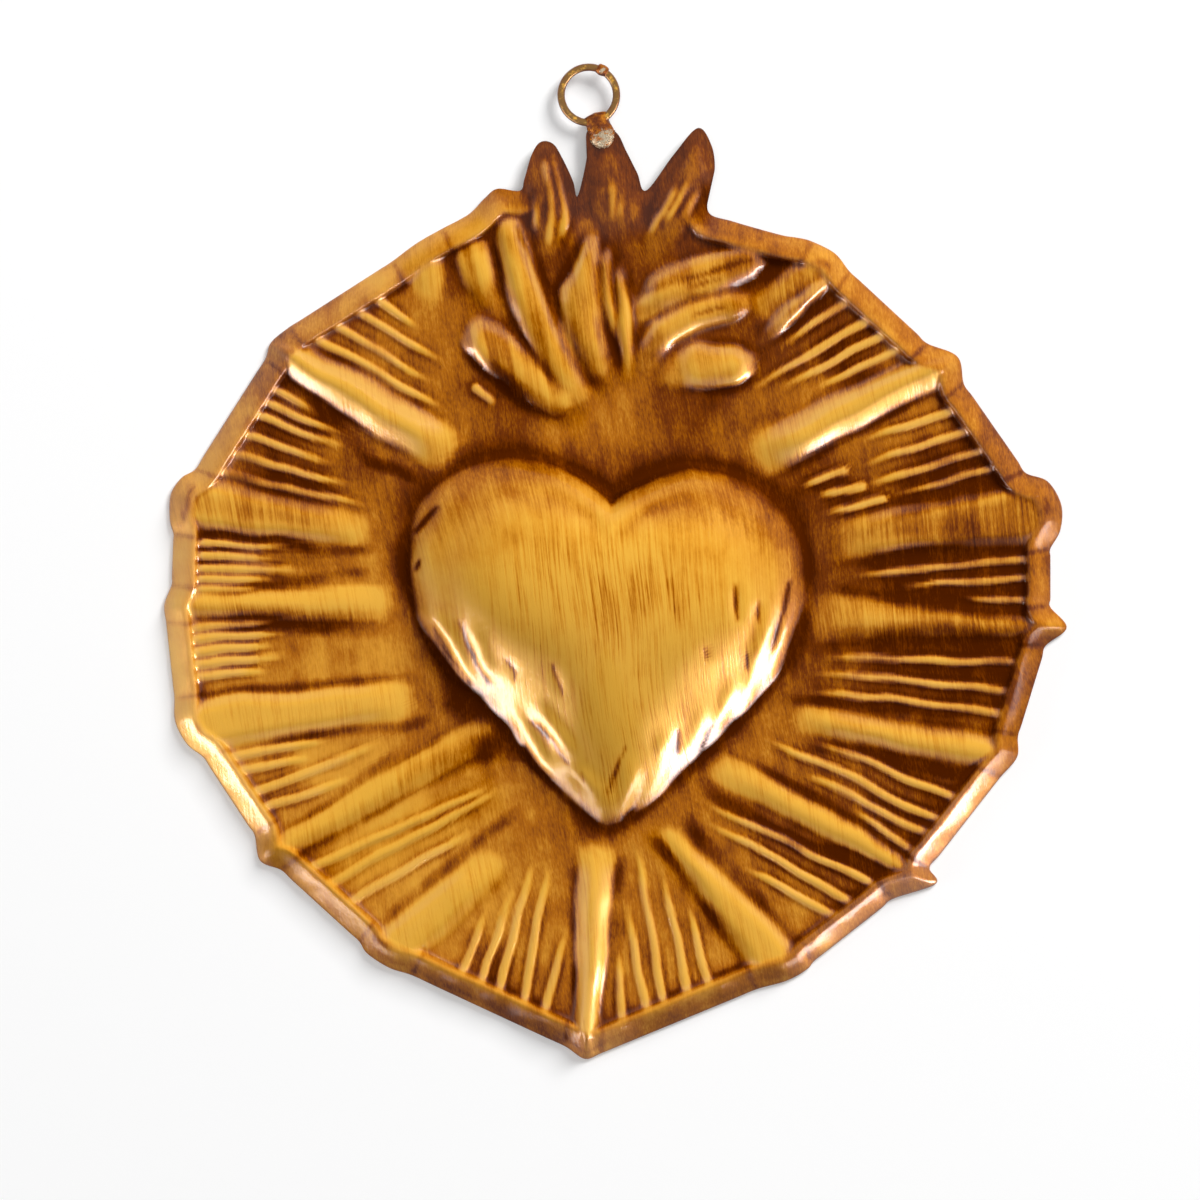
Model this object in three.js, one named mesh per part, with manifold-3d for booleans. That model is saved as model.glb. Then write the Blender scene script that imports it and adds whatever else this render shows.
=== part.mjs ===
// Sacred heart milagro: a stamped tinplate sheet with a wire hanging ring soldered to its middle flame.
// Sizes are in millimetres. The sheet lies face up with its cut edge on the XY plane, +Y towards the ring.

import * as THREE from "three";
import { mergeVertices } from "three/addons/utils/BufferGeometryUtils.js";
import ManifoldModule from "manifold-3d";

// Sheet metal and the depth of the stamping
const SHEET_WIDTH = 90.2;
const SHEET_LENGTH = 93.1; // lowest ray to the tip of the middle flame
const SHEET_THICKNESS = 0.35;
const GROUND_LIFT = 1.0; // recessed ground above the cut edge
const RIM_LIFT = 1.1; // rim crest above the ground
const SLAB_LIFT = 1.3; // flat topped rays above the ground
const SPIKE_LIFT = 1.7; // ridged rays above the ground
const FINE_LIFT = 0.5; // fine rays above the ground
const LEAF_LIFT = 1.5; // flame leaves above the ground
const HEART_LIFT = 7.0; // crown of the heart above the ground

// Rim, from the cut edge inwards
const LIP_WIDTH = 0.6; // flat lip
const RIM_SLOPE = 0.75; // lip up to the crest
const RIM_WALL = 0.6; // crest down to the ground

// Heart
const HEART_WIDTH = 40.2;
const HEART_LENGTH = 37.0;
const HEART_FLATNESS = 2.8; // higher is flatter on top
const HEART_FLANK = 0.75; // lower is steeper at the outline

// Hanging ring and solder
const WIRE_DIAMETER = 0.78;
const RING_INSIDE = 4.8;
const RING_GAP = 0.2; // wire to flame tip, filled by the solder
const RING_BEARING = 108; // degrees, from the flame tip to the ring's centre
const SEAM_BEARING = 62; // degrees, where the wire's two ends meet
const SEAM_GAP = 0.4;
const SEAM_COVER = 0.16; // solder over the wire at the seam
const SEAM_RUN = 0.55; // solder along the wire on each side of the seam
const SOLDER_COVER = 0.28; // solder over the wire at the flame tip
const SOLDER_RUN = 2.2; // solder down the flame from its tip
const SOLDER_WIDTH = 2.5;
const SOLDER_CLEARANCE = 0.05;
const SOLDER_SHAPE = [[1, 0], [0.9, 0.45], [0.55, 0.85], [0.1, 1.05]]; // shares of its run and thickness

// Places on the sheet are in hundredths of its width and length from its middle
const onSheet = ([x, y]) => [(x * SHEET_WIDTH) / 100, (y * SHEET_LENGTH) / 100];

const HEART_CENTRE = onSheet([-1.1, -5.1]);
const FLAME_TIP = onSheet([-1.8, 50]); // carries the ring

// The heart's outline in shares of its width and length from its centre: the notch, then one curve a row
const HEART_NOTCH = [0.017, 0.381];
const HEART_CURVES = [
  [[0.087, 0.441], [0.174, 0.481], [0.246, 0.473]],
  [[0.383, 0.468], [0.5, 0.341], [0.5, 0.178]],
  [[0.5, 0.003], [0.346, -0.173], [0.234, -0.308]],
  [[0.162, -0.403], [0.087, -0.489], [0.002, -0.5]],
  [[-0.05, -0.489], [-0.162, -0.362], [-0.239, -0.249]],
  [[-0.338, -0.132], [-0.5, 0.003], [-0.5, 0.232]],
  [[-0.5, 0.381], [-0.388, 0.5], [-0.239, 0.5]],
  [[-0.112, 0.5], [-0.037, 0.435], HEART_NOTCH],
];

// Thick rays, anticlockwise from the upper left. Each foot is a bearing in degrees from the heart's centre and
// a share of the way from the heart's outline to the cut edge, for the ray's two sides. Each edge is its cut
// outline on the sheet. fineAfter is the number of fine rays between it and the next one.
const RAYS = [
  {
    form: "slab",
    foot: [[115, 0.67], [119, 0.76]],
    edge: [[-19.1, 39.2], [-22.0, 37.6], [-24.8, 35.6]],
    fineAfter: 4,
  },
  {
    form: "spike",
    foot: [[121, 0.13], [135, 0.06]],
    edge: [[-36.4, 28.4], [-38.2, 26.9], [-38.8, 25.2]],
    fineAfter: 6,
  },
  {
    form: "slab",
    foot: [[150, 0.13], [159, 0.14]],
    edge: [[-46.6, 13.3], [-48.1, 12.4], [-49.3, 10.6], [-49.4, 7.9], [-49.0, 6.4]],
    fineAfter: 3,
  },
  {
    form: "spike",
    foot: [[164, 0.09], [176, 0.14]],
    edge: [[-49.2, 0.9], [-50.0, -1.2], [-49.8, -3.2]],
    fineAfter: 4,
  },
  {
    form: "slab",
    foot: [[190, 0.08], [203, 0.21]],
    edge: [[-48.9, -11.2], [-48.8, -13.8], [-47.5, -16.2], [-45.7, -17.6]],
    fineAfter: 4,
  },
  {
    form: "spike",
    foot: [[210, 0.04], [226, 0.08]],
    edge: [[-40.0, -26.0], [-39.4, -28.7], [-37.1, -29.7]],
    fineAfter: 4,
  },
  {
    form: "slab",
    foot: [[240, 0.35], [249, 0.38]],
    edge: [[-28.4, -37.4], [-27.5, -38.7], [-25.1, -40.2], [-22.6, -41.0]],
    fineAfter: 6,
  },
  {
    form: "spike",
    foot: [[261, 0.15], [274, 0.10]],
    edge: [[-5.5, -48.7], [-3.4, -50.0], [-1.6, -49.4]],
    fineAfter: 5,
  },
  {
    form: "slab",
    foot: [[283, 0.08], [291, 0.09]],
    edge: [[15.7, -42.5], [19.0, -41.6], [21.2, -40.4], [22.0, -39.5]],
    fineAfter: 3,
  },
  {
    form: "spike",
    foot: [[304, 0.08], [317, 0.05]],
    edge: [[30.8, -32.8], [35.5, -31.2], [34.8, -29.5]],
    fineAfter: 4,
  },
  {
    form: "slab",
    foot: [[333, 0.19], [343, 0.06]],
    edge: [[42.7, -19.7], [44.5, -17.6], [44.6, -15.4]],
    fineAfter: 3,
  },
  {
    form: "spike",
    foot: [[359, 0.10], [375, 0.03]],
    edge: [[47.7, -5.6], [50.0, -3.7], [48.2, -1.5]],
    fineAfter: 3,
  },
  {
    form: "slab",
    foot: [[379, 0.10], [389, 0.15]],
    edge: [[48.2, 4.8], [49.3, 6.8], [49.4, 9.5], [47.9, 12.0], [45.5, 12.9]],
    fineAfter: 4,
  },
  {
    form: "spike",
    foot: [[406, 0.04], [419, 0.20]],
    edge: [[38.6, 22.5], [37.9, 25.4], [34.6, 26.8]],
    fineAfter: 4,
  },
  {
    form: "slab",
    foot: [[423, 0.54], [428, 0.69]],
    edge: [[25.9, 34.6], [24.3, 36.5], [21.7, 37.8]],
    fineAfter: 0,
  },
];

// Flame outline from right to left: bearing of its foot, cut edge, and how far the edge is free of the rim
const FLAME_EDGE = [
  { bearing: 428.5, edge: [20.0, 38.2], free: 0 },
  { bearing: 429, edge: [18.2, 38.5], free: 0 },
  { bearing: 432, edge: [13.1, 39.9], free: 0 },
  { bearing: 434, edge: [10.3, 40.9], free: 0.5 },
  { bearing: 435, edge: [10.6, 43.8], free: 1 },
  { bearing: 436, edge: [11.0, 45.7], free: 1 },
  { bearing: 437, edge: [10.6, 48.1], free: 1 },
  { bearing: 439, edge: [9.1, 49.9], free: 1 },
  { bearing: 441, edge: [6.4, 47.0], free: 1 },
  { bearing: 444, edge: [3.4, 43.2], free: 1 },
  { bearing: 445, edge: [2.4, 45.1], free: 1 },
  { bearing: 447, edge: [1.2, 47.4], free: 1 },
  { bearing: 448, edge: [0.1, 49.4], free: 1 },
  { bearing: 450, edge: [-1.8, 50.0], free: 1 },
  { bearing: 452, edge: [-3.2, 49.4], free: 1 },
  { bearing: 454, edge: [-3.2, 46.7], free: 1 },
  { bearing: 455, edge: [-4.2, 42.6], free: 1 },
  { bearing: 456, edge: [-4.7, 44.2], free: 1 },
  { bearing: 457, edge: [-5.8, 46.5], free: 1 },
  { bearing: 458, edge: [-6.9, 48.2], free: 1 },
  { bearing: 460, edge: [-8.3, 48.4], free: 1 },
  { bearing: 461, edge: [-9.3, 47.0], free: 1 },
  { bearing: 462, edge: [-10.1, 44.4], free: 1 },
  { bearing: 464, edge: [-10.6, 43.2], free: 0.6 },
  { bearing: 467, edge: [-13.1, 43.4], free: 0.6 },
  { bearing: 469, edge: [-14.5, 42.4], free: 0.3 },
  { bearing: 471, edge: [-16.0, 40.9], free: 0 },
  { bearing: 473, edge: [-17.5, 40.0], free: 0 },
];

// The flames spring from the ground above the heart's notch, this share of the way to the cut edge
const FLAME_FOOT = 0.08;

// The middle leaf ends below the solder
const MIDDLE_LEAF_DROP = 1.7;
const MIDDLE_LEAF_SHIFT = 0.5;
const MIDDLE_LEAF_TIP = [FLAME_TIP[0] + MIDDLE_LEAF_SHIFT, FLAME_TIP[1] - SOLDER_RUN - MIDDLE_LEAF_DROP];

// Flame leaves: half width and spine on the sheet from its base to its tip
const LEAVES = [
  { half: 2.7, spine: [[-0.1, 31.5], [-0.4, 39.0], [-0.9, 43.1]], tip: MIDDLE_LEAF_TIP },
  { half: 2.0, spine: [[-7.1, 34.7], [-7.6, 40.7], [-7.9, 47.7]] },
  { half: 2.3, spine: [[2.8, 34.2], [6.3, 40.7], [8.8, 46.0], [9.3, 49.4]] },
  { half: 1.3, spine: [[-13.1, 29.2], [-14.9, 34.2], [-17.0, 38.2]] },
  { half: 1.3, spine: [[-3.1, 21.3], [-7.5, 26.7], [-9.8, 32.6], [-11.2, 39.6], [-12.5, 41.5]] },
  { half: 1.7, spine: [[-2.4, 20.6], [-7.9, 23.1], [-12.9, 26.7], [-17.8, 28.9]] },
  { half: 1.5, spine: [[-1.4, 23.8], [-3.4, 29.4], [-3.8, 34.7], [-2.5, 39.5]] },
  { half: 0.7, spine: [[1.0, 22.5], [0.2, 27.8], [-0.1, 32.9]] },
  { half: 1.3, spine: [[1.9, 27.2], [5.0, 32.1], [11.1, 35.0], [17.4, 36.9]] },
  { half: 1.5, spine: [[2.5, 23.1], [5.2, 27.8], [10.0, 30.5], [15.9, 30.7]] },
  { half: 1.5, spine: [[4.4, 22.1], [8.3, 24.4], [12.7, 24.9], [16.3, 24.4]] },
];

// Where the forms rise, as shares of a ray's length from its foot to the rim
const SLAB_RISE = 0.3;
const SPIKE_RISE = 0.12;
const SPIKE_FALL = 0.25; // how much lower a spike is at its tip
const FINE_START = 0.32;
const FINE_RISE = 0.2;
const SLAB_SHOULDER = 0.78; // flat part of a slab's half width

// Rows of the sheet's surface: shares inside the heart, and their spacing on the ground and the flames
const HEART_ROWS = [0.35, 0.65, 0.86, 0.96];
const GROUND_ROW = 2.6;
const FLAME_ROW = 1.4;
const FLAME_STEP = 1.4;

// How a leaf narrows towards its tip and its base
const LEAF_TIP_FALL = 0.6;
const LEAF_BASE_WIDTH = 0.5;
const LEAF_BASE_SHARE = 0.3;

const GROUND = SHEET_THICKNESS + GROUND_LIFT;
const RIM_WIDTH = LIP_WIDTH + RIM_SLOPE + RIM_WALL;
const WIRE_RADIUS = WIRE_DIAMETER / 2;
const RING_RADIUS = RING_INSIDE / 2 + WIRE_RADIUS;

const mix = (a, b, t) => a + (b - a) * t;

const mixPoint = (a, b, t) => [mix(a[0], b[0], t), mix(a[1], b[1], t)];

function smooth(t) {
  const c = THREE.MathUtils.clamp(t, 0, 1);
  return c * c * (3 - 2 * c);
}

// The heart's outline as a path round its centre
function heartPath() {
  const path = new THREE.Path();
  const place = ([x, y]) => [x * HEART_WIDTH, y * HEART_LENGTH];
  path.moveTo(...place(HEART_NOTCH));
  for (const [a, b, end] of HEART_CURVES) {
    path.bezierCurveTo(...place(a), ...place(b), ...place(end));
  }
  return path.getPoints(24);
}

const HEART_POINTS = heartPath();

// Distance from the heart's centre to its outline on one bearing
function heartRadius(bearing) {
  const angle = THREE.MathUtils.degToRad(bearing);
  const dx = Math.cos(angle);
  const dy = Math.sin(angle);
  let reach = 0;
  for (let i = 0; i < HEART_POINTS.length; i += 1) {
    const p = HEART_POINTS[i];
    const q = HEART_POINTS[(i + 1) % HEART_POINTS.length];
    const ex = q.x - p.x;
    const ey = q.y - p.y;
    const cross = dx * ey - dy * ex;
    if (Math.abs(cross) > 1e-9) {
      const along = (p.x * ey - p.y * ex) / cross;
      const share = (p.x * dy - p.y * dx) / cross;
      if (along > reach && share >= 0 && share <= 1) reach = along;
    }
  }
  return reach;
}

function fromHeart(bearing, distance) {
  const angle = THREE.MathUtils.degToRad(bearing);
  return [HEART_CENTRE[0] + distance * Math.cos(angle), HEART_CENTRE[1] + distance * Math.sin(angle)];
}

// A point part of the way along a row of points
function alongPoints(points, t) {
  const at = t * (points.length - 1);
  const i = Math.min(Math.floor(at), points.length - 2);
  return mixPoint(points[i], points[i + 1], at - i);
}

// One line of the sheet's surface, from the heart's outline over the ray's foot to the cut edge
function sheetLine(bearing, share, edge, form, top, free = 0) {
  const reach = Math.hypot(edge[0] - HEART_CENTRE[0], edge[1] - HEART_CENTRE[1]);
  const radius = heartRadius(bearing);
  const gap = share * (reach - radius);
  return { bearing, radius, gap, edge, form, top, free };
}

function rayLines(ray) {
  const edge = ray.edge.map(onSheet);
  const sides = edge.map((_, i) => mix(-1, 1, i / (edge.length - 1)));
  if (ray.form === "slab") {
    sides.push(-SLAB_SHOULDER, SLAB_SHOULDER);
    sides.sort((a, b) => a - b);
  }
  return sides.map((side) => {
    const t = (side + 1) / 2;
    const [bearing, share] = mixPoint(ray.foot[0], ray.foot[1], t);
    const reach = 1 - Math.abs(side);
    const top = ray.form === "slab" ? Math.min(1, reach / (1 - SLAB_SHOULDER)) : reach;
    return sheetLine(bearing, share, alongPoints(edge, t), ray.form, top);
  });
}

// Crest and valley lines of the fine rays between two thick ones
function fineLines(ray, next) {
  const lines = [];
  const count = ray.fineAfter * 2;
  for (let i = 1; i < count; i += 1) {
    const t = i / count;
    const [bearing, share] = mixPoint(ray.foot[1], next.foot[0], t);
    const edge = onSheet(mixPoint(ray.edge.at(-1), next.edge[0], t));
    lines.push(sheetLine(bearing, share, edge, "fine", i % 2));
  }
  return lines;
}

function flameLines() {
  const lines = [];
  const rows = FLAME_EDGE.map((row) => ({ ...row, edge: onSheet(row.edge) }));
  rows.forEach((row, i) => {
    const next = rows[i + 1] ?? row;
    const span = Math.hypot(next.edge[0] - row.edge[0], next.edge[1] - row.edge[1]);
    const steps = Math.max(1, Math.round(span / FLAME_STEP));
    for (let step = 0; step < steps; step += 1) {
      const t = step / steps;
      const edge = mixPoint(row.edge, next.edge, t);
      const free = mix(row.free, next.free, t);
      lines.push(sheetLine(mix(row.bearing, next.bearing, t), FLAME_FOOT, edge, "flame", 0, free));
    }
  });
  return lines;
}

// Every line of the sheet, anticlockwise
function sheetLines() {
  const lines = [];
  RAYS.forEach((ray, i) => {
    lines.push(...rayLines(ray));
    if (ray.fineAfter > 0) lines.push(...fineLines(ray, RAYS[i + 1]));
  });
  lines.push(...flameLines());
  return lines;
}

// Height of the rays above the ground, part of the way from their foot to the rim
function rayLift(line, share) {
  if (line.form === "slab") return SLAB_LIFT * line.top * smooth(share / SLAB_RISE);
  if (line.form === "spike") {
    return SPIKE_LIFT * line.top * smooth(share / SPIKE_RISE) * (1 - SPIKE_FALL * share);
  }
  if (line.form === "fine") return FINE_LIFT * line.top * smooth((share - FINE_START) / FINE_RISE);
  return 0;
}

const PLACED_LEAVES = LEAVES.map(({ half, spine, tip }) => {
  const placed = spine.map(onSheet);
  return { half, spine: tip ? [...placed, tip] : placed };
});

// Height of the flame leaves above the ground at one point
function leafLift([x, y]) {
  let lift = 0;
  for (const { half, spine } of PLACED_LEAVES) {
    for (let i = 0; i + 1 < spine.length; i += 1) {
      const [ax, ay] = spine[i];
      const [bx, by] = spine[i + 1];
      const length2 = (bx - ax) ** 2 + (by - ay) ** 2;
      const t = THREE.MathUtils.clamp(((x - ax) * (bx - ax) + (y - ay) * (by - ay)) / length2, 0, 1);
      const share = (i + t) / (spine.length - 1);
      const base = mix(LEAF_BASE_WIDTH, 1, smooth(share / LEAF_BASE_SHARE));
      const width = half * (1 - LEAF_TIP_FALL * share ** 3) * base;
      const off = Math.hypot(x - mix(ax, bx, t), y - mix(ay, by, t)) / width;
      if (off < 1) lift = Math.max(lift, LEAF_LIFT * Math.sqrt(1 - off * off));
    }
  }
  return lift;
}

function heartLift(share) {
  return HEART_LIFT * (1 - share ** HEART_FLATNESS) ** HEART_FLANK;
}

// The heart's outline eases into a round crown
function heartReach(radius, share) {
  const round = (HEART_WIDTH + HEART_LENGTH) / 4;
  return share * mix(round, radius, share * share);
}

// Shares of a ray's length, from its foot to the rim's wall, where its height changes
function rayRows(line, inside) {
  if (line.form === "flame") {
    const count = Math.round(inside / FLAME_ROW);
    return Array.from({ length: count + 1 }, (_, i) => i / count);
  }
  if (line.top === 0) return [0, 1];
  if (line.form === "slab") return [0, SLAB_RISE / 2, SLAB_RISE, 1];
  if (line.form === "spike") return [0, SPIKE_RISE, 1];
  return [0, FINE_START, FINE_START + FINE_RISE, 1];
}

// Front points of one line: the heart's rows, the ground up to the rim's wall, and the rim to the cut edge
function linePoints(line, edge) {
  const { radius } = line;
  const heart = HEART_ROWS.map((share) => {
    return [...fromHeart(line.bearing, heartReach(radius, share)), GROUND + heartLift(share)];
  });
  const ground = [];
  const gaps = Math.max(1, Math.round(line.gap / GROUND_ROW));
  for (let i = 0; i < gaps; i += 1) {
    const point = fromHeart(line.bearing, radius + (line.gap * i) / gaps);
    ground.push([...point, GROUND + leafLift(point)]);
  }
  const foot = fromHeart(line.bearing, radius + line.gap);
  const length = Math.hypot(edge[0] - foot[0], edge[1] - foot[1]);
  const inside = length - RIM_WIDTH;
  for (const share of rayRows(line, inside)) {
    const point = mixPoint(foot, edge, (share * inside) / length);
    ground.push([...point, GROUND + Math.max(rayLift(line, share), leafLift(point))]);
  }
  const crest = mixPoint(edge, foot, (LIP_WIDTH + RIM_SLOPE) / length);
  const crestLift = Math.max(rayLift(line, 1), leafLift(crest), RIM_LIFT * (1 - line.free));
  const lip = SHEET_THICKNESS + GROUND_LIFT * line.free;
  const rim = [
    [...crest, GROUND + crestLift],
    [...mixPoint(edge, foot, LIP_WIDTH / length), lip],
    [...edge, lip],
  ];
  return { heart, ground, rim };
}

// Each cut edge point moved outwards by the same distance
function grownEdge(lines, i, grow) {
  const before = lines[(i + lines.length - 1) % lines.length].edge;
  const after = lines[(i + 1) % lines.length].edge;
  const span = Math.hypot(after[0] - before[0], after[1] - before[1]);
  const [x, y] = lines[i].edge;
  return [x + (grow * (after[1] - before[1])) / span, y - (grow * (after[0] - before[0])) / span];
}

// Triangles between two neighbouring rows of points that run the same way
function bridge(a, b, face) {
  let i = 0;
  let j = 0;
  while (i + 1 < a.length || j + 1 < b.length) {
    const nextA = (i + 1) / (a.length - 1);
    const nextB = (j + 1) / (b.length - 1);
    if (j + 1 === b.length || (i + 1 < a.length && nextA <= nextB)) {
      face(a[i], a[i + 1], b[j]);
      i += 1;
    } else {
      face(a[i], b[j + 1], b[j]);
      j += 1;
    }
  }
}

// The pressed sheet as one closed skin. A grown copy stands clear of it all round, for cutting its neighbours.
function pressedSheet(grow) {
  const lines = sheetLines();
  const columns = lines.map((line, i) => linePoints(line, grownEdge(lines, i, grow)));
  const positions = [];
  const triangles = [];

  const addPoint = ([x, y, z], offset) => {
    positions.push(x, y, z + offset);
    return positions.length / 3 - 1;
  };

  const skin = (offset, front) => {
    const face = (a, b, c) => triangles.push(...(front ? [a, b, c] : [a, c, b]));
    const crown = addPoint([...HEART_CENTRE, GROUND + heartLift(0)], offset);
    const ids = columns.map(({ heart, ground, rim }, i) => ({
      heart: i % 2 ? [] : heart.map((point) => addPoint(point, offset)),
      ground: ground.map((point) => addPoint(point, offset)),
      rim: rim.map((point) => addPoint(point, offset)),
    }));
    ids.forEach((here, i) => {
      const next = ids[(i + 1) % ids.length];
      bridge(here.ground, next.ground, face);
      bridge([here.ground.at(-1), ...here.rim], [next.ground.at(-1), ...next.rim], face);
    });
    // Inside the heart every other line is enough
    for (let i = 0; i < ids.length; i += 2) {
      const here = ids[i].heart;
      const end = Math.min(i + 2, ids.length);
      const next = ids[end % ids.length].heart;
      const last = here.length - 1;
      bridge([crown, ...here], [crown, ...next], (a, b, c) => (a === c ? null : face(a, b, c)));
      for (let j = i; j < end; j += 1) face(here[last], ids[j].ground[0], ids[(j + 1) % ids.length].ground[0]);
      face(here[last], ids[end % ids.length].ground[0], next[last]);
    }
    return ids.map(({ rim }) => rim.at(-1));
  };

  const front = skin(grow, true);
  const back = skin(-SHEET_THICKNESS - grow, false);
  front.forEach((point, i) => {
    const j = (i + 1) % front.length;
    triangles.push(point, back[i], back[j]);
    triangles.push(point, back[j], front[j]);
  });
  const sheet = new THREE.BufferGeometry();
  sheet.setAttribute("position", new THREE.Float32BufferAttribute(positions, 3));
  sheet.setIndex(triangles);
  return sheet;
}

// Ring of round wire, open at its seam
class RingArc extends THREE.Curve {
  constructor(gap) {
    super();
    this.half = gap / 2 / RING_RADIUS;
  }

  getPoint(t, target = new THREE.Vector3()) {
    const seam = THREE.MathUtils.degToRad(SEAM_BEARING);
    const angle = seam + mix(this.half, Math.PI * 2 - this.half, t);
    return target.set(RING_RADIUS * Math.cos(angle), RING_RADIUS * Math.sin(angle), 0);
  }
}

function wireRing(grow) {
  const section = new THREE.Shape().absarc(0, 0, WIRE_RADIUS + grow, 0, Math.PI * 2);
  return new THREE.ExtrudeGeometry(section, {
    steps: 40,
    curveSegments: 5,
    extrudePath: new RingArc(SEAM_GAP - 2 * grow),
  });
}

// Solder lump along the line from the flame to the ring, thinning down the flame and rounded over the wire
function tipLump() {
  const wireAt = RING_GAP + WIRE_RADIUS;
  const girth = WIRE_RADIUS + SOLDER_CLEARANCE + SOLDER_COVER;
  const down = SOLDER_SHAPE.map(([run, thick]) => new THREE.Vector2(girth * thick, -SOLDER_RUN * run));
  const over = [0, 45, 90].map((turn) => {
    const angle = THREE.MathUtils.degToRad(turn);
    return new THREE.Vector2(girth * Math.cos(angle), wireAt + girth * Math.sin(angle));
  });
  const lump = new THREE.LatheGeometry([...down, ...over], 14);
  lump.scale(SOLDER_WIDTH / 2 / girth, 1, 1);
  lump.rotateZ(THREE.MathUtils.degToRad(RING_BEARING - 90));
  lump.translate(FLAME_TIP[0], FLAME_TIP[1], 0);
  return lump;
}

function seamBead() {
  const girth = WIRE_RADIUS + SOLDER_CLEARANCE + SEAM_COVER;
  const bead = new THREE.SphereGeometry(1, 12, 8);
  bead.scale(girth, SEAM_GAP / 2 + SEAM_RUN, girth);
  bead.translate(RING_RADIUS, 0, 0);
  bead.rotateZ(THREE.MathUtils.degToRad(SEAM_BEARING));
  return bead;
}

const solids = await ManifoldModule();
solids.setup();

function toSolid(geometry) {
  const plain = new THREE.BufferGeometry();
  plain.setAttribute("position", geometry.getAttribute("position").clone());
  if (geometry.index) plain.setIndex(geometry.index.clone());
  const merged = mergeVertices(plain, 1e-4);
  const corners = merged.index.array;
  const triVerts = [];
  for (let i = 0; i < corners.length; i += 3) {
    const [a, b, c] = [corners[i], corners[i + 1], corners[i + 2]];
    if (a !== b && b !== c && c !== a) triVerts.push(a, b, c);
  }
  return new solids.Manifold(new solids.Mesh({
    numProp: 3,
    vertProperties: new Float32Array(merged.getAttribute("position").array),
    triVerts: new Uint32Array(triVerts),
  }));
}

function fromSolid(solid) {
  const mesh = solid.getMesh();
  const geometry = new THREE.BufferGeometry();
  geometry.setAttribute("position", new THREE.Float32BufferAttribute(mesh.vertProperties, 3));
  geometry.setIndex([...mesh.triVerts]);
  geometry.computeVertexNormals();
  return geometry;
}

// Ring's centre, carried by the flame tip at the middle of the sheet's thickness
const bearing = THREE.MathUtils.degToRad(RING_BEARING);
const seat = RING_GAP + WIRE_RADIUS + RING_RADIUS;
const ringPlace = new THREE.Vector3(
  FLAME_TIP[0] + seat * Math.cos(bearing),
  FLAME_TIP[1] + seat * Math.sin(bearing),
  GROUND - SHEET_THICKNESS / 2,
);
const atRing = (geometry) => geometry.translate(ringPlace.x, ringPlace.y, ringPlace.z);

const ringCutter = toSolid(atRing(wireRing(SOLDER_CLEARANCE)));
const sheetCutter = toSolid(pressedSheet(SOLDER_CLEARANCE));
const tipSolid = toSolid(tipLump().translate(0, 0, ringPlace.z)).subtract(ringCutter).subtract(sheetCutter);
const seamSolid = toSolid(atRing(seamBead())).subtract(ringCutter);

const parts = {
  embossed_sheet: {
    geometry: pressedSheet(0),
    material: new THREE.MeshStandardMaterial({ color: 0xa9782c, metalness: 0.6, roughness: 0.4 }),
  },
  hanging_ring: {
    geometry: fromSolid(toSolid(atRing(wireRing(0)))),
    material: new THREE.MeshStandardMaterial({ color: 0x8a5a2b, metalness: 0.6, roughness: 0.45 }),
  },
  tip_solder: {
    geometry: fromSolid(tipSolid),
    material: new THREE.MeshStandardMaterial({ color: 0xb9a489, metalness: 0.8, roughness: 0.5 }),
  },
  seam_solder: {
    geometry: fromSolid(seamSolid),
    material: new THREE.MeshStandardMaterial({ color: 0xb08a55, metalness: 0.8, roughness: 0.5 }),
  },
};

const milagro = new THREE.Group();
milagro.name = "sacred_heart_milagro";
for (const [name, { geometry, material }] of Object.entries(parts)) {
  const mesh = new THREE.Mesh(geometry, material);
  mesh.name = name;
  milagro.add(mesh);
}

// The frame's origin is under the middle of the whole ornament
const middle = new THREE.Box3().setFromObject(milagro).getCenter(new THREE.Vector3());
for (const mesh of milagro.children) {
  mesh.geometry.translate(-middle.x, -middle.y, 0);
}

export default milagro;
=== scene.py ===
"""Looks of a stamped and glazed tin heart with its hanging ring.

It is laid out as an add-on and run as a script.
"""

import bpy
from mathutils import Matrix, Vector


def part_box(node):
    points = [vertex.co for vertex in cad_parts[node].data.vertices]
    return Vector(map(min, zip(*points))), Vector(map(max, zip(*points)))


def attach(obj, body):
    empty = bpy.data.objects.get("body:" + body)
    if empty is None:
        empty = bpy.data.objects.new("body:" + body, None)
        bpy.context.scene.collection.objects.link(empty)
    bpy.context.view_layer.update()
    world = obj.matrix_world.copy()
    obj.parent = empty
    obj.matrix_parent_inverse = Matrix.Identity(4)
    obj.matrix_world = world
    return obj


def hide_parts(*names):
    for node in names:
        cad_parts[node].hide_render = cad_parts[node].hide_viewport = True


bl_info = {
    "name": "Sacred heart milagro",
    "version": (1, 0, 0),
    "blender": (4, 5, 0),
    "location": "View3D > Sidebar > Milagro",
    "description": "Dresses a stamped tin heart with its rays, flames, hanging ring and solder",
    "category": "Add Mesh",
}

import math
import types

import bpy
import numpy as np

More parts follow.
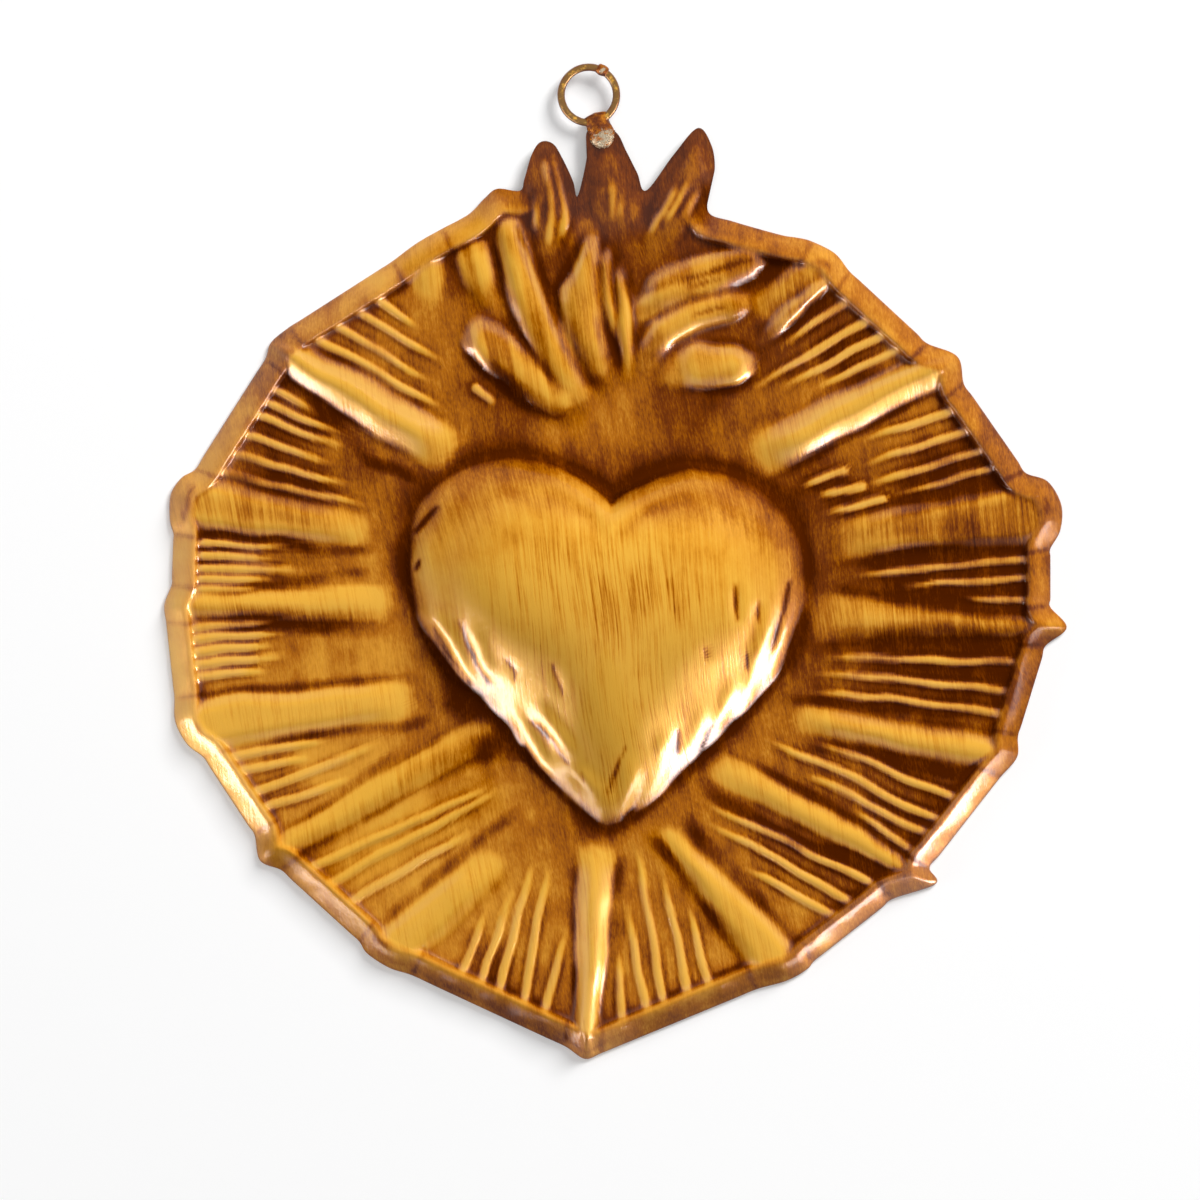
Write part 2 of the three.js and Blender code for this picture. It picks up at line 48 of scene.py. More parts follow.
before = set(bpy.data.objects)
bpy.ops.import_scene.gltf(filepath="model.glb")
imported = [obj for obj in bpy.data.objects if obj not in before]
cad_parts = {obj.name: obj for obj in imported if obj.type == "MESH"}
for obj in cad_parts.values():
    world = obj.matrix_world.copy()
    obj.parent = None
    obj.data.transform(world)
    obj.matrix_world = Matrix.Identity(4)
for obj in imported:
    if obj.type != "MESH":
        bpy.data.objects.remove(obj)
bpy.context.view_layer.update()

MM = 0.001
SHEET_LOW, SHEET_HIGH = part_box("embossed_sheet")
RING_LOW, RING_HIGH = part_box("hanging_ring")
TIP_LOW, TIP_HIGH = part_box("tip_solder")
SEAM_LOW, SEAM_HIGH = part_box("seam_solder")
SHEET_WIDTH = (SHEET_HIGH.x - SHEET_LOW.x) / MM
SHEET_LENGTH = (SHEET_HIGH.y - SHEET_LOW.y) / MM
SHEET_MIDDLE = np.array(((SHEET_LOW.x + SHEET_HIGH.x) / 2, (SHEET_LOW.y + SHEET_HIGH.y) / 2))
SHEET_CROWN = SHEET_HIGH.z / MM
RING_CENTRE = (RING_LOW + RING_HIGH) / 2

# Places on the sheet are in hundredths of its width and length from its middle
HEART_CENTRE = (-1.1, -5.1)
FLAME_TIP = (-1.8, 50.0)

# The heart's outline in shares of its width and length from its centre: the notch, then one curve a row
HEART_NOTCH = (0.017, 0.381)
HEART_CURVES = (
    ((0.087, 0.441), (0.174, 0.481), (0.246, 0.473)),
    ((0.383, 0.468), (0.5, 0.341), (0.5, 0.178)),
    ((0.515, -0.01), (0.395, -0.175), (0.24, -0.308)),
    ((0.162, -0.403), (0.087, -0.489), (0.002, -0.5)),
    ((-0.05, -0.489), (-0.162, -0.362), (-0.239, -0.249)),
    ((-0.338, -0.132), (-0.5, 0.003), (-0.5, 0.232)),
    ((-0.5, 0.381), (-0.388, 0.5), (-0.239, 0.5)),
    ((-0.112, 0.5), (-0.037, 0.435), HEART_NOTCH),
)

# Thick rays, anticlockwise from the upper left: form, foot of each side, and cut edge. Slabs have flat tops,
# spikes a broad ridge, ridges a narrow one, and low ones a slight one. A foot is a bearing in degrees from
# the heart's centre and a share of the way from the heart's outline to the cut edge.
RAYS = (
    ("slab", ((115, 0.67), (119, 0.76)), ((-19.1, 39.2), (-22.0, 37.6), (-24.8, 35.6))),
    ("spike", ((121, 0.13), (135, 0.06)), ((-36.4, 28.4), (-38.2, 26.9), (-38.8, 25.2))),
    ("slab", ((150, 0.13), (159, 0.14)),
     ((-46.6, 13.3), (-48.1, 12.4), (-49.3, 10.6), (-49.4, 7.9), (-49.0, 6.4))),
    ("low", ((164, 0.09), (176, 0.14)), ((-49.2, 0.9), (-50.0, -1.2), (-49.8, -3.2))),
    ("slab", ((190, 0.08), (203, 0.21)), ((-48.9, -11.2), (-48.8, -13.8), (-47.5, -16.2), (-45.7, -17.6))),
    ("low", ((210, 0.04), (226, 0.08)), ((-40.0, -26.0), (-39.4, -28.7), (-37.1, -29.7))),
    ("slab", ((240, 0.35), (249, 0.38)), ((-28.4, -37.4), (-27.5, -38.7), (-25.1, -40.2), (-22.6, -41.0))),
    ("ridge", ((261, 0.15), (274, 0.10)), ((-5.5, -48.7), (-3.4, -50.0), (-1.6, -49.4))),
    ("slab", ((283, 0.08), (291, 0.09)), ((15.7, -42.5), (19.0, -41.6), (21.2, -40.4), (22.0, -39.5))),
    ("low", ((304, 0.08), (317, 0.05)), ((30.8, -32.8), (35.5, -31.2), (34.8, -29.5))),
    ("slab", ((333, 0.19), (343, 0.06)), ((42.7, -19.7), (44.5, -17.6), (44.6, -15.4))),
    ("low", ((359, 0.10), (375, 0.03)), ((47.7, -5.6), (50.0, -3.7), (48.2, -1.5))),
    ("slab", ((379, 0.10), (389, 0.15)), ((48.2, 4.8), (49.3, 6.8), (49.4, 9.5), (47.9, 12.0), (45.5, 12.9))),
    ("spike", ((406, 0.04), (419, 0.20)), ((38.6, 22.5), (37.9, 25.4), (34.6, 26.8))),
    ("slab", ((423, 0.54), (428, 0.69)), ((25.9, 34.6), (24.3, 36.5), (21.7, 37.8))),
)

# Flame outline from right to left: bearing of its foot, cut edge, and how far the edge is free of the rim
FLAME_EDGE = (
    (428.5, 20.0, 38.2, 0), (429, 18.2, 38.5, 0), (432, 13.1, 39.9, 0), (434, 10.3, 40.9, 0.5),
    (435, 10.6, 43.8, 1), (436, 11.0, 45.7, 1), (437, 10.6, 48.1, 1), (439, 9.1, 49.9, 1),
    (441, 6.4, 47.0, 1), (444, 3.4, 43.2, 1), (445, 2.4, 45.1, 1), (447, 1.2, 47.4, 1),
    (448, 0.1, 49.4, 1), (450, -1.8, 50.0, 1), (452, -3.2, 49.4, 1), (454, -3.2, 46.7, 1),
    (455, -4.2, 42.6, 1), (456, -4.7, 44.2, 1), (457, -5.8, 46.5, 1), (458, -6.9, 48.2, 1),
    (460, -8.3, 48.4, 1), (461, -9.3, 47.0, 1), (462, -10.1, 44.4, 1), (464, -10.6, 43.2, 0.6),
    (467, -13.1, 43.4, 0.6), (469, -14.5, 42.4, 0.3), (471, -16.0, 40.9, 0), (473, -17.5, 40.0, 0),
)

# Fine rays between the thick ones: end at the rim, then inner end
FINE_RAYS = (
    (-26.2, 31.5, -21.5, 28.2), (-28.2, 30.1, -18.4, 24.2), (-30.6, 28.6, -20.1, 22.2),
    (-32, 26.8, -18.4, 19.2), (-14.9, 21.4, -13.1, 20.1),
    (-37.8, 21.9, -33.1, 19.6), (-39, 20.5, -29.5, 16.9), (-40.1, 19.2, -29, 15.3),
    (-41.6, 17.1, -30.4, 13.7), (-43, 15.1, -28.9, 11.4), (-44.2, 13.1, -26.7, 9.2),
    (-46.6, 5.4, -35, 4.8), (-46.7, 4.1, -36, 3.6), (-46.8, 2.8, -33.9, 2.4), (-46.8, 1.7, -37.1, 1.5),
    (-47.1, 0.5, -38.2, 0.6),
    (-45.9, -3.6, -36, -3.1), (-45.7, -4.8, -35.5, -4.4), (-45.6, -6.1, -37.1, -5.6),
    (-45.5, -7.4, -35.9, -6.8), (-45.3, -8.8, -38.2, -8.3),
    (-43.2, -17.8, -31.2, -15.7), (-41, -19.2, -33.5, -17.6), (-39, -21.2, -25.6, -16),
    (-38.1, -22.9, -28.7, -19.6),
    (-33.1, -29.1, -13.1, -20.5), (-31.3, -30.9, -12.4, -20.9), (-28.9, -32.8, -15.2, -25),
    (-17.1, -40.5, -14.2, -33.6), (-14.9, -41.5, -11.2, -31.1), (-12.9, -42.6, -9.1, -28.4),
    (-10.2, -43.9, -7.4, -28.6), (-7.8, -45, -5.2, -35.4),
    (0.6, -45.3, 0.1, -37.6), (3.3, -44.5, 0.9, -32.4), (5.3, -43.9, 2.2, -26.8), (8, -42.6, 5, -28.8),
    (10.2, -41.6, 8.1, -33.4),
    (27.9, -31.2, 10.1, -22.3), (24.8, -32.6, 10.1, -24.2), (23.2, -34.2, 13.5, -29.1),
    (35.4, -24.2, 16.2, -15.3), (37.1, -21.8, 21.2, -15.7), (34.5, -25.8, 20.1, -18.9),
    (32.6, -27.2, 25.4, -22.9),
    (43.9, -7.6, 22, -6.7), (43.3, -10.5, 21.2, -8.3), (42.1, -12.9, 21.2, -10.3),
    (45.5, 3.7, 25.4, 1.8), (45.7, 1.7, 31.2, 0.9), (45.5, -0.8, 37.5, -0.2),
    (37.8, 19.8, 26.7, 16.2), (39.8, 17.8, 26.7, 13.4), (41.5, 15.4, 27.1, 11.5),
    (42.8, 13.4, 30.4, 10.6), (24.5, 12.8, 20.4, 11.5), (26.5, 11.3, 22.3, 10.4), (28.7, 9.9, 22.8, 8.6),
    (26.2, 31.5, 17.6, 26.2), (27.6, 29.3, 14.9, 21.6), (29.3, 27.8, 17.6, 21.4), (32, 26.6, 21.2, 21.4),
)

# Flame leaves from tip to base: place on the sheet, and half width in millimetres. The first ones are the
# free tips, and so many from the first on are lower than the rest.
FLAME_TIPS = 3
LOW_LEAVES = 4
LOW_LEAF_SHARE = 0.6
LEAVES = (
    ((-1.1, 46.4, 1.4), (-0.6, 44.3, 2.9), (0.1, 41.7, 2.6), (0.2, 39.1, 1.4), (0.1, 37.1, 0.5)),
    ((-8.1, 47.5, 0.8), (-7.6, 44, 2.4), (-7.3, 40.4, 2.2), (-7.3, 37.3, 1.3), (-7.5, 34.9, 0.4)),
    ((9.5, 49, 0.6), (8.8, 46.2, 2), (7.8, 43.6, 2.7), (6.1, 40.7, 2.3), (4.8, 37.8, 1.6), (3.8, 35.3, 0.5)),
    ((-16.2, 38.8, 1.2), (-15.9, 36.6, 1.9), (-15.2, 34, 1.8), (-14, 31.4, 1.2), (-12.8, 29.2, 0.5)),
    ((-12.2, 41.3, 1.2), (-11.7, 37.8, 1.5), (-10.3, 33.2, 2), (-8.5, 28.7, 2.2), (-6.3, 24.8, 2),
     (-4.3, 21.5, 1.5), (-3, 19.2, 0.8)),
    ((-17.2, 29, 1.5), (-13.7, 26.4, 2.4), (-10, 23.5, 2.5), (-6.7, 21.2, 2.1), (-3.6, 19.2, 1.2)),
    ((-2.6, 39.4, 0.6), (-2.8, 35.8, 1.3), (-3.6, 31.9, 2.4), (-3.4, 28.7, 2.1), (-2, 24.8, 1.7),
     (0.2, 21.8, 0.9)),
    ((-0.9, 37.8, 0.5), (-0.7, 31.3, 0.6), (0.4, 24.8, 0.5)),
    ((0.7, 35.8, 0.6), (0.9, 29.3, 0.9), (1.3, 22.2, 0.6)),
    ((17.4, 36.6, 0.7), (14.2, 35.5, 1.9), (9.5, 33.9, 2.5), (5.4, 32.2, 2), (3.1, 30, 1.4),
     (1.9, 27.7, 0.6)),
    ((16, 31.6, 0.9), (12.8, 30.9, 1.7), (8.8, 29.9, 1.7), (5.4, 28, 1.7), (3.4, 25.4, 1.4),
     (2.6, 22.8, 0.6)),
    ((16.3, 24.6, 0.9), (12.8, 24.6, 2.1), (9.5, 24.4, 2.5), (6.8, 23.8, 1.9), (4.8, 22.5, 0.8)),
    ((24, 34.6, 0.7), (22.6, 33.1, 0.9), (19.6, 30.3, 1.1), (16.2, 27.2, 0.7), (15, 26.2, 0.5)),
)

# Grooves in the leaves and the heart, and cracks across the ends of the slabs
LEAF_GROOVES = (
    ((-11.1, 40.1), (-9.8, 36.6)),
    ((-4.9, 31.2), (-4.9, 30.2)),
    ((-3.1, 37), (-3.2, 35.6)),
    ((-3.2, 31.8), (-3.4, 30.7)),
    ((15.6, 36.1), (10.5, 34.6), (6.8, 33.1)),
    ((7.2, 32.6), (12, 34)),
    ((8.3, 29.6), (12.7, 30.8)),
)
HEART_GROOVES = (
    ((-19.3, 9.5), (-22.6, 6.1)),
    ((-21.4, 4.1), (-22.2, 2.2)),
    ((-20.4, -3.1), (-18.6, -6.3), (-15.6, -10.1)),
    ((-17.4, -2.5), (-16.6, -5), (-15, -7.9), (-13.7, -10.1)),
    ((-12.4, -6.4), (-11.1, -8.2), (-11.2, -9.8)),
    ((-7.3, -7.1), (-6.7, -8.8), (-5.5, -11.3)),
    ((-9.8, -13.2), (-6.8, -16.1), (-4.9, -18.9)),
    ((-10.4, -15.8), (-7.2, -20.5)),
    ((-1.1, -21.8), (-0.6, -19.9), (1.5, -15.8)),
    ((-4.2, -18.6), (-3.6, -20.8)),
    ((13, 1.3), (13.1, -0.6), (13.4, -3.3)),
    ((15.7, -0.5), (15.5, -3.4)),
    ((19.3, 1.9), (18.8, -1.5), (17, -6.6)),
    ((14.6, -6), (14.4, -8.8)),
    ((10, -5.3), (10.5, -7.6)),
    ((10.8, -13.5), (9, -17)),
    ((6.8, -13.9), (6.8, -17.7)),
    ((2.5, -22.7), (0.6, -24.3)),
)
SLAB_CRACKS = (
    ((-46.5, 11.9), (-48.2, 6.8)),
    ((-46.6, -13.5), (-45.6, -16)),
    ((-27, -36.3), (-24.7, -38.2)),
    ((47.4, 10.6), (47.8, 7.9)),
    ((21.8, 35.8), (24, 34.7)),
)

# How each kind is cut: half width in millimetres, share of the groove depth, and darkness of its bottom
GROOVES = (
    (LEAF_GROOVES, 0.5, 0.7, 0.4),
    (HEART_GROOVES, 0.8, 0.8, 1),
    (SLAB_CRACKS, 0.4, 0.6, 0.8),
)
CREASE_HALF = 0.3
CREASE_DEPTH = 0.12

# Nicks that part the rim from the ends of the rays: from where to where inside the cut edge, half width in
# millimetres, and darkness
NICK_RUN = (0.4, 2.6)
NICK_HALF = 0.45
NICK_DARK = 0.5

# Thin raised lines along the free flame tips: half width and height in millimetres, then places
FLAME_LINE_HALF = 0.45
FLAME_LINE_LIFT = 0.2
FLAME_LINES = (
    ((-8.2, 47), (-7.3, 43.6), (-7.1, 40.2), (-7.4, 36.6)),
    ((-7.2, 47.4), (-6.2, 44.2), (-5.6, 41.3), (-5.9, 37.8)),
    ((-8.9, 42), (-8.8, 38.6)),
    ((-0.8, 44.8), (-0.3, 42.4), (-0.4, 39.4)),
    ((0.7, 42.9), (0.4, 39.6)),
    ((-0.5, 46.9), (0.2, 44.7)),
    ((8.3, 44.8), (6.8, 42.2), (5, 39.4)),
    ((7, 44), (4.4, 39.9), (3.6, 37.8)),
    ((9.5, 43.8), (7.2, 40.2)),
)

# Folds that stand up on the heart's lower flanks: half width in millimetres, then places
FOLD_HALF = 1.1
HEART_FOLDS = (
    ((-21.5, -0.6), (-18.2, -6), (-14.7, -11.3)),
    ((-17, -2.5), (-15.3, -5.5), (-13.4, -9.9)),
    ((-12.6, -11.2), (-9.2, -16.2), (-7.2, -20.2)),
    ((-9.6, -11), (-6.6, -15), (-3.8, -18.6)),
    ((-5.7, -17.3), (-2.5, -22.3)),
    ((20, -1.4), (18, -6.8), (15.9, -10.4)),
    ((17.2, -1.6), (16.3, -5.2), (14.6, -8.8)),
    ((13.5, -8.6), (12.4, -12.2), (10.6, -15.8)),
    ((10.2, -11.6), (9, -15.4), (7.6, -18.9)),
    ((5.8, -13.6), (5.2, -19.2)),
    ((1.9, -16.4), (0.7, -22.9)),
)

# Runs of thick glaze beside the raised forms: half width in millimetres, depth, then places
GLAZE_RUNS = (
    (0.7, 0.34, (-46.6, 6.6), (-37.4, 5.7), (-32.5, 4.2), (-25.8, 4.8)),
    (1.9, 0.55, (-48.2, -2.3), (-40.5, -2.7), (-31.9, -2.9), (-23.9, -3.5)),
    (0.6, 0.24, (-46.6, 0), (-37.4, 1.2), (-25.8, 2.4)),
    (0.7, 0.24, (-47.2, -11.3), (-35.5, -9.9), (-20.9, -9.2)),
    (0.9, 0.3, (-36.2, 23.8), (-27, 14.3), (-20.2, 12)),
    (2.4, 0.3, (-20.2, -10), (-13.5, -13.6)),
    (0.8, 0.36, (-43.2, -16.4), (-31.7, -14.9), (-24.2, -14.3), (-19.3, -13.1)),
    (0.7, 0.26, (-37.1, -26.5), (-28.5, -20), (-23, -16.4)),
    (1.8, 0.6, (-37.1, -28.3), (-30.4, -24.7), (-23.7, -20.4), (-16.2, -17), (-11.4, -15.9)),
    (0.8, 0.26, (-26.1, -35.4), (-14.5, -26), (-9.6, -23)),
    (1.0, 0.42, (-22.5, -38.6), (-16.9, -33.3), (-12, -29.7)),
    (0.5, 0.2, (-4.6, -30.9), (-4.4, -46.4)),
    (2.4, 0.2, (-7.1, -24.4), (2.7, -24.4)),
    (0.6, 0.28, (0.6, -26.7), (0, -46.4)),
    (1.0, 0.45, (3.3, -25), (9.8, -32.7), (15.2, -39.8)),
    (1.0, 0.3, (7.3, -23.2), (14, -30.9), (19, -37.5)),
    (1.0, 0.4, (9.1, -20.2), (19.6, -26.7), (31.8, -30.3)),
    (0.8, 0.28, (15.2, -18.4), (23.2, -22.6), (33, -29.1)),
    (0.8, 0.26, (19.6, -16.1), (30.6, -17.8), (39.7, -20)),
    (0.8, 0.26, (17.7, -11.3), (28.1, -11.9), (39.7, -13.1)),
    (0.8, 0.24, (13.5, 16), (25.1, 21.3), (35.5, 26.1)),
    (0.7, 0.24, (16.6, 13.2), (26.3, 17.3), (35.5, 22.1)),
    (0.7, 0.28, (23.3, 2.9), (35.5, 4.8), (45.4, 5.9)),
    (0.8, 0.22, (25.8, 6.5), (36.8, 9.8), (44.7, 11.8)),
    (0.7, 0.26, (22.1, 1.2), (32.5, -1.3), (47.8, -2.7)),
    (1.3, 0.34, (22.1, -4.8), (34.3, -4.2), (47.2, -4.5)),
    (1.3, 0.45, (-18.9, 37), (-18.1, 33), (-17.5, 29.5)),
    (0.8, 0.3, (-8.8, 36), (-7, 30.6), (-4.6, 25.4), (-2.2, 21.2)),
    (1.1, 0.36, (-16.4, 26.2), (-12.2, 22.9), (-7.6, 19.9), (-4, 18)),
    (0.8, 0.3, (-5.2, 29), (-4.4, 26.4), (-2.6, 23.2), (-0.8, 21)),
    (0.7, 0.3, (-24, 34.3), (-18.6, 37.6), (-14.2, 40.2)),
)

# Places where the colour is made lighter or darker than elsewhere: place on the sheet, radius in millimetres,
# change. Some are painted light, marked where they stand. The heart comes first, then the flames, the left,
# the bottom and the right.
TONE_AND_LIGHT_PATCHES = (
    # Painted light: lightens the heart's lower part against the shade on its lower slopes
    (-1, -16, 8, 0.14),
    (12.7, 9, 8, -0.08),
    (5.5, 7.5, 5, -0.12),
    (16.5, 0.5, 4, 0.18),
    (-12.8, 9, 7, -0.09),
    (-10.6, 17.5, 4, -0.08),
    (-18, -14, 6, -0.14),
    (-7, -24, 5, -0.12),
    (-1, 45, 8, -0.27),
    (9, 43, 7, -0.24),
    (-8, 42, 6, -0.25),
    (14, 37, 7, -0.06),
    (0, 16, 7, 0.05),
    (0.7, 18.3, 2.5, 0.1),
    (-5, 39, 3, 0.24),
    (3.3, 39, 3, 0.1),
    (-6, 22, 4, 0.2),
    (0.5, 26, 3, 0.1),
    (-16, 20.8, 4, -0.1),
    (8.3, 18.6, 4, -0.12),
    (13.8, 20.8, 3, 0.08),
    (20.5, 33.6, 4, -0.3),
    (-21, 33.6, 4, 0.08),
    (9.4, 28.3, 2, 0.14),
    (2.7, 30.4, 2, 0.14),
    (-4.2, 38, 2.5, 0.14),
    (-5, 23.9, 3, -0.12),
    (11, 24.5, 4, -0.1),
    (-36, -12, 24, 0.22),
    (-43, -6, 8, 0.1),
    (-38, -20, 8, 0.14),
    (-34, 14, 14, 0.04),
    (-38, 9, 7, -0.55),
    (-30, -21, 6, 0.08),
    (-22, -34, 16, 0.2),
    (2, -40, 13, 0.18),
    (-6, -38, 8, 0.06),
    (13, -33, 7, 0.08),
    (23, -30, 7, 0.1),
    (34, -26, 12, -0.1),
    (43, -8, 15, -0.18),
    (49, -8, 7, -0.24),
    (23.8, -0.7, 5, -0.12),
    (45, 9, 11, -0.3),
    (36, 8, 8, -0.1),
    (35, 8, 7, -0.3),
    # Painted highlight: lightens the fine rays at the upper right
    (34, 17, 9, 0.34),
)

# How the rim is finished: bearing from the heart's centre, how far the glaze is wiped off its slope and its
# crest, and its gloss. On the left, from 168 to 204 degrees, the wiping is raised to paint a sheen into the
# colour.
RIM_FINISH = (
    (112, 0.7, 0.68, 0.5), (126, 0.67, 0.52, 0.6), (137, 0.52, 0.46, 0.6), (148, 0.68, 0.6, 0.8),
    # Painted sheen on the left, from 168 to 204 degrees
    (160, 0.7, 0.68, 0.8), (168, 0.84, 0.72, 1), (184, 0.95, 0.8, 1), (204, 0.9, 0.85, 1),
    (214, 0.7, 0.75, 0.4), (222, 0.74, 0.8, 0.4), (230, 0.62, 0.62, 0.25), (244, 0.56, 0.78, 0.15),
    (262, 0.5, 0.74, 0.15), (268, 0.66, 0.66, 0.5), (276, 0.54, 0.66, 0.15), (292, 0.52, 0.62, 0.15),
    (299, 0.38, 0.42, 0.2), (306, 0.58, 0.38, 0.6), (318, 0.56, 0.42, 0.5), (328, 0.66, 0.44, 1),
    (335, 0.64, 0.42, 1), (341, 0.5, 0.4, 0.35), (347, 0.38, 0.37, 0.05), (353, 0.42, 0.34, 0.1),
    (360, 0.44, 0.33, 0.08), (364, 0.54, 0.44, 0.25), (370, 0.48, 0.34, 0.15), (377, 0.54, 0.46, 0.3),
    (388, 0.42, 0.46, 0.3), (400, 0.5, 0.54, 0.25), (412, 0.5, 0.5, 0.3), (424, 0.54, 0.5, 0.3),
    (431, 0.45, 0.5, 0.3),
)

# Runs where the lacquer has sunk in and is dull: half width in millimetres, then places
DULL_RUNS = (
    (2.6, (-39, -29), (-30.4, -24.4), (-23.7, -20), (-11.4, -15.6)),
    (1.6, (-22.5, -38.6), (-16.9, -33.3), (-12, -29.7)),
    (1.6, (3.3, -25), (9.8, -32.7), (15.2, -39.8)),
    (3.0, (-33, -30.5), (-22, -25), (-12.5, -20.8)),
    (1.8, (-14.4, 24.8), (-12.2, 22.9), (-7.6, 19.9), (-2.6, 18)),
    (1.4, (-12.8, 40), (-11.6, 34.6), (-8.6, 28), (-5.4, 22.6)),
    (1.4, (-5.2, 32), (-4.6, 28), (-3, 24), (-0.6, 20.8)),
    (1.2, (-1.6, 36), (-1, 30), (0.2, 23)),
    (1.2, (0.2, 34), (0.6, 28), (1.2, 22)),
    (1.8, (-16.6, 38.4), (-16.4, 34.4), (-14.4, 29.6)),
    (1.0, (-24, 34.3), (-18.6, 37.6), (-14.2, 40.2)),
    (2.0, (17, 31.8), (11.5, 30.4)),
    (1.3, (10.4, 44.5), (8.6, 39)),
    (1.4, (-6, 41), (-5.6, 36.5)),
)

# How ridged rays run: share of the way to the rim by which they start closer to the heart, then each form's
# shares of a spike's height and of its half width at the rim
SPIKE_RUN_IN = 0.06
RIDGE_SHARES = {"spike": (1, 1), "ridge": (1, 0.55), "low": (0.4, 0.6)}

# How ridged rays end: share of the way from which they narrow towards their tip, and by how much
RIDGE_END = 0.86
RIDGE_NARROWING = 0.6

# Sections of ridged rays: powers of the round narrow ones, width in millimetres of the flank below a spike's
# ridge at the foot and at the rim, and power of that flank
RIDGE_SECTION = (1.6, 1.15)
SPIKE_FLANK = (2.2, 1.8)
SPIKE_SECTION = 1.15

# How far the wiping of a thick ray fades in from its foot, in millimetres
RAY_WIPED_RISE = 3

# Section of the heart: how flat its top is, the slope of its lower flanks at the outline, how far the middle
# is rounded over in millimetres, and the bearings of the middles of its right and left flank
HEART_FLATNESS = 4.0
FLANK_SLOPE = 0.8
CROWN_ROUNDING = 2.5
FLANK_BEARINGS = (-38, 218)

# Fine streaks that run along a form: size across and along in millimetres, then bearing and seed, first for
# its left and then for its right part. The carved lines part so far right of the sheet's middle, in
# millimetres, and are so deep.
FOLD_STREAKS = (0.5, 2.2, (-66, 51), (-106, 52))
CARVED_STREAKS = (0.32, 3.2, (106, 62), (22, 61))
CARVED_PARTING = 2
CARVED_DEPTH = 0.04

# Unevenness of the stamped sheet and cloudiness of the glaze: amount, grain in millimetres and seed
DENTS = ((0.6, 1.6, 21), (1, 4.0, 22))
RIM_DENTS = (0.05, 0.7, 23)
POOLING = (0.4, 1.5, 33)
FINE_CLOUDS = (0.2, 1.5, 34)
LEAF_CLOUDS = (0.25, 1.2, 35)
GLAZE_CLOUDS = ((0.05, 2.5, 31), (0.03, 0.7, 32))

# How far the glaze is wiped off the ground, and how much further off each kind of raised form
WIPED_GROUND = 0.415
WIPED_HEART = 0.41
WIPED_RAY = 0.42
WIPED_FINE = 0.46
WIPED_LEAF = 0.2
WIPED_TIP = 0.08

# Hollows in which the glaze pools: width and depth in millimetres, and how much glaze they keep
POOLS = ((0.3, 0.06, 0.25), (0.8, 0.22, 0.14), (3.0, 0.9, 0.05))

# Glaze pooled round the heart: its depth, and its width in millimetres, each as a mean, a swing about it and
# the bearing where it is most
MOAT_DEPTH = (0.18, 0.12, 140)
MOAT_WIDTH = (3.2, 1.2, 200)

# Lacquer: its full weight, its share on flat parts, slopes from which the heart and the rest keep it, its
# weight on the free flame tips, and how much of it the dull runs lose
LACQUER = 0.85
RUBBED_SHARE = 0.12
HEART_GLOSS_SLOPE = 0.42
GLOSS_SLOPE = 0.3
TIP_GLOSS = 0.28
DULL_LOSS = 0.9

# Brush strokes: how much they show on the ground, on thick rays, on leaves and on fine rays. The heart is 1.
GROUND_STROKES = 0.15
RAY_STROKES = 0.5
LEAF_STROKES = 0.3
FINE_STROKES = 0.2

# Steps round the outline's curves between two points
CURVE_STEPS = 24

# Bare patches of the solder, in millimetres: middle of the one on the flame from the flame's tip, its reach,
# and the reach of the one on the seam
BARE_MIDDLE = (0.35, -1.25)
BARE_REACH = 1.6
SEAM_BARE_REACH = 0.4

# Lamps: name, place and size in metres, brightness, and whether a lamp is only seen mirrored or only lights
LAMPS = (
    ("top_softbox", (0.0, 0.0, 1.1), (0.9, 0.9), 1.6, False),
    ("key_softbox", (0.65, 0.77, 0.68), (0.5, 0.5), 24, False),
    ("left_strip", (-0.46, -0.385, 0.105), (0.5, 0.14), 15, True),
    ("left_fill", (-0.6, -0.12, 0.22), (0.3, 0.2), 4, False),
    ("right_strip", (0.48, -0.34, 0.11), (0.5, 0.16), 24, True),
)

# How much of the paper's white is its own, so that it stays white away from the lamps
PAPER_GLOW = 0.22

# Mesh of the sheet: size of a cell of its map and margin round it in millimetres, lines round it, and rows in
# the heart, the ground and the rim. Rows take every line, or every second, fourth and so on, as far as the
# share of their group's rows that is given.
MAP_CELL = 0.1
MAP_MARGIN = 2.0
LINES = 1280
FACE_ROWS = (
    (40, ((0.08, 16), (0.25, 8), (0.5, 4), (1, 2))),
    (58, ((0.42, 2), (1, 1))),
    (8, ((1, 1),)),
)
BACK_ROWS = (
    (10, ((0.3, 16), (1, 8))),
    (12, ((0.5, 8), (1, 4))),
    (4, ((0.6, 4), (0.8, 2), (1, 1))),
)


def linear(code):
    """Linear colour of an sRGB hex code."""
    shares = [int(code[i:i + 2], 16) / 255 for i in (1, 3, 5)]
    return tuple(s / 12.92 if s <= 0.04045 else ((s + 0.055) / 1.055) ** 2.4 for s in shares)


def length(name, millimetres, description):
    """A size that a user would change."""
    return bpy.props.FloatProperty(
        name=name, description=description, default=millimetres * MM, unit="LENGTH", precision=5
    )


def colour(name, code, description):
    """A colour that a user would change."""
    return bpy.props.FloatVectorProperty(
        name=name, description=description, default=linear(code), subtype="COLOR", min=0, max=1
    )


def in_millimetres(group):
    """The sizes of a group as plain numbers in millimetres."""
    sizes = {name: getattr(group, name) / MM for name in group.__annotations__}
    return types.SimpleNamespace(**sizes)


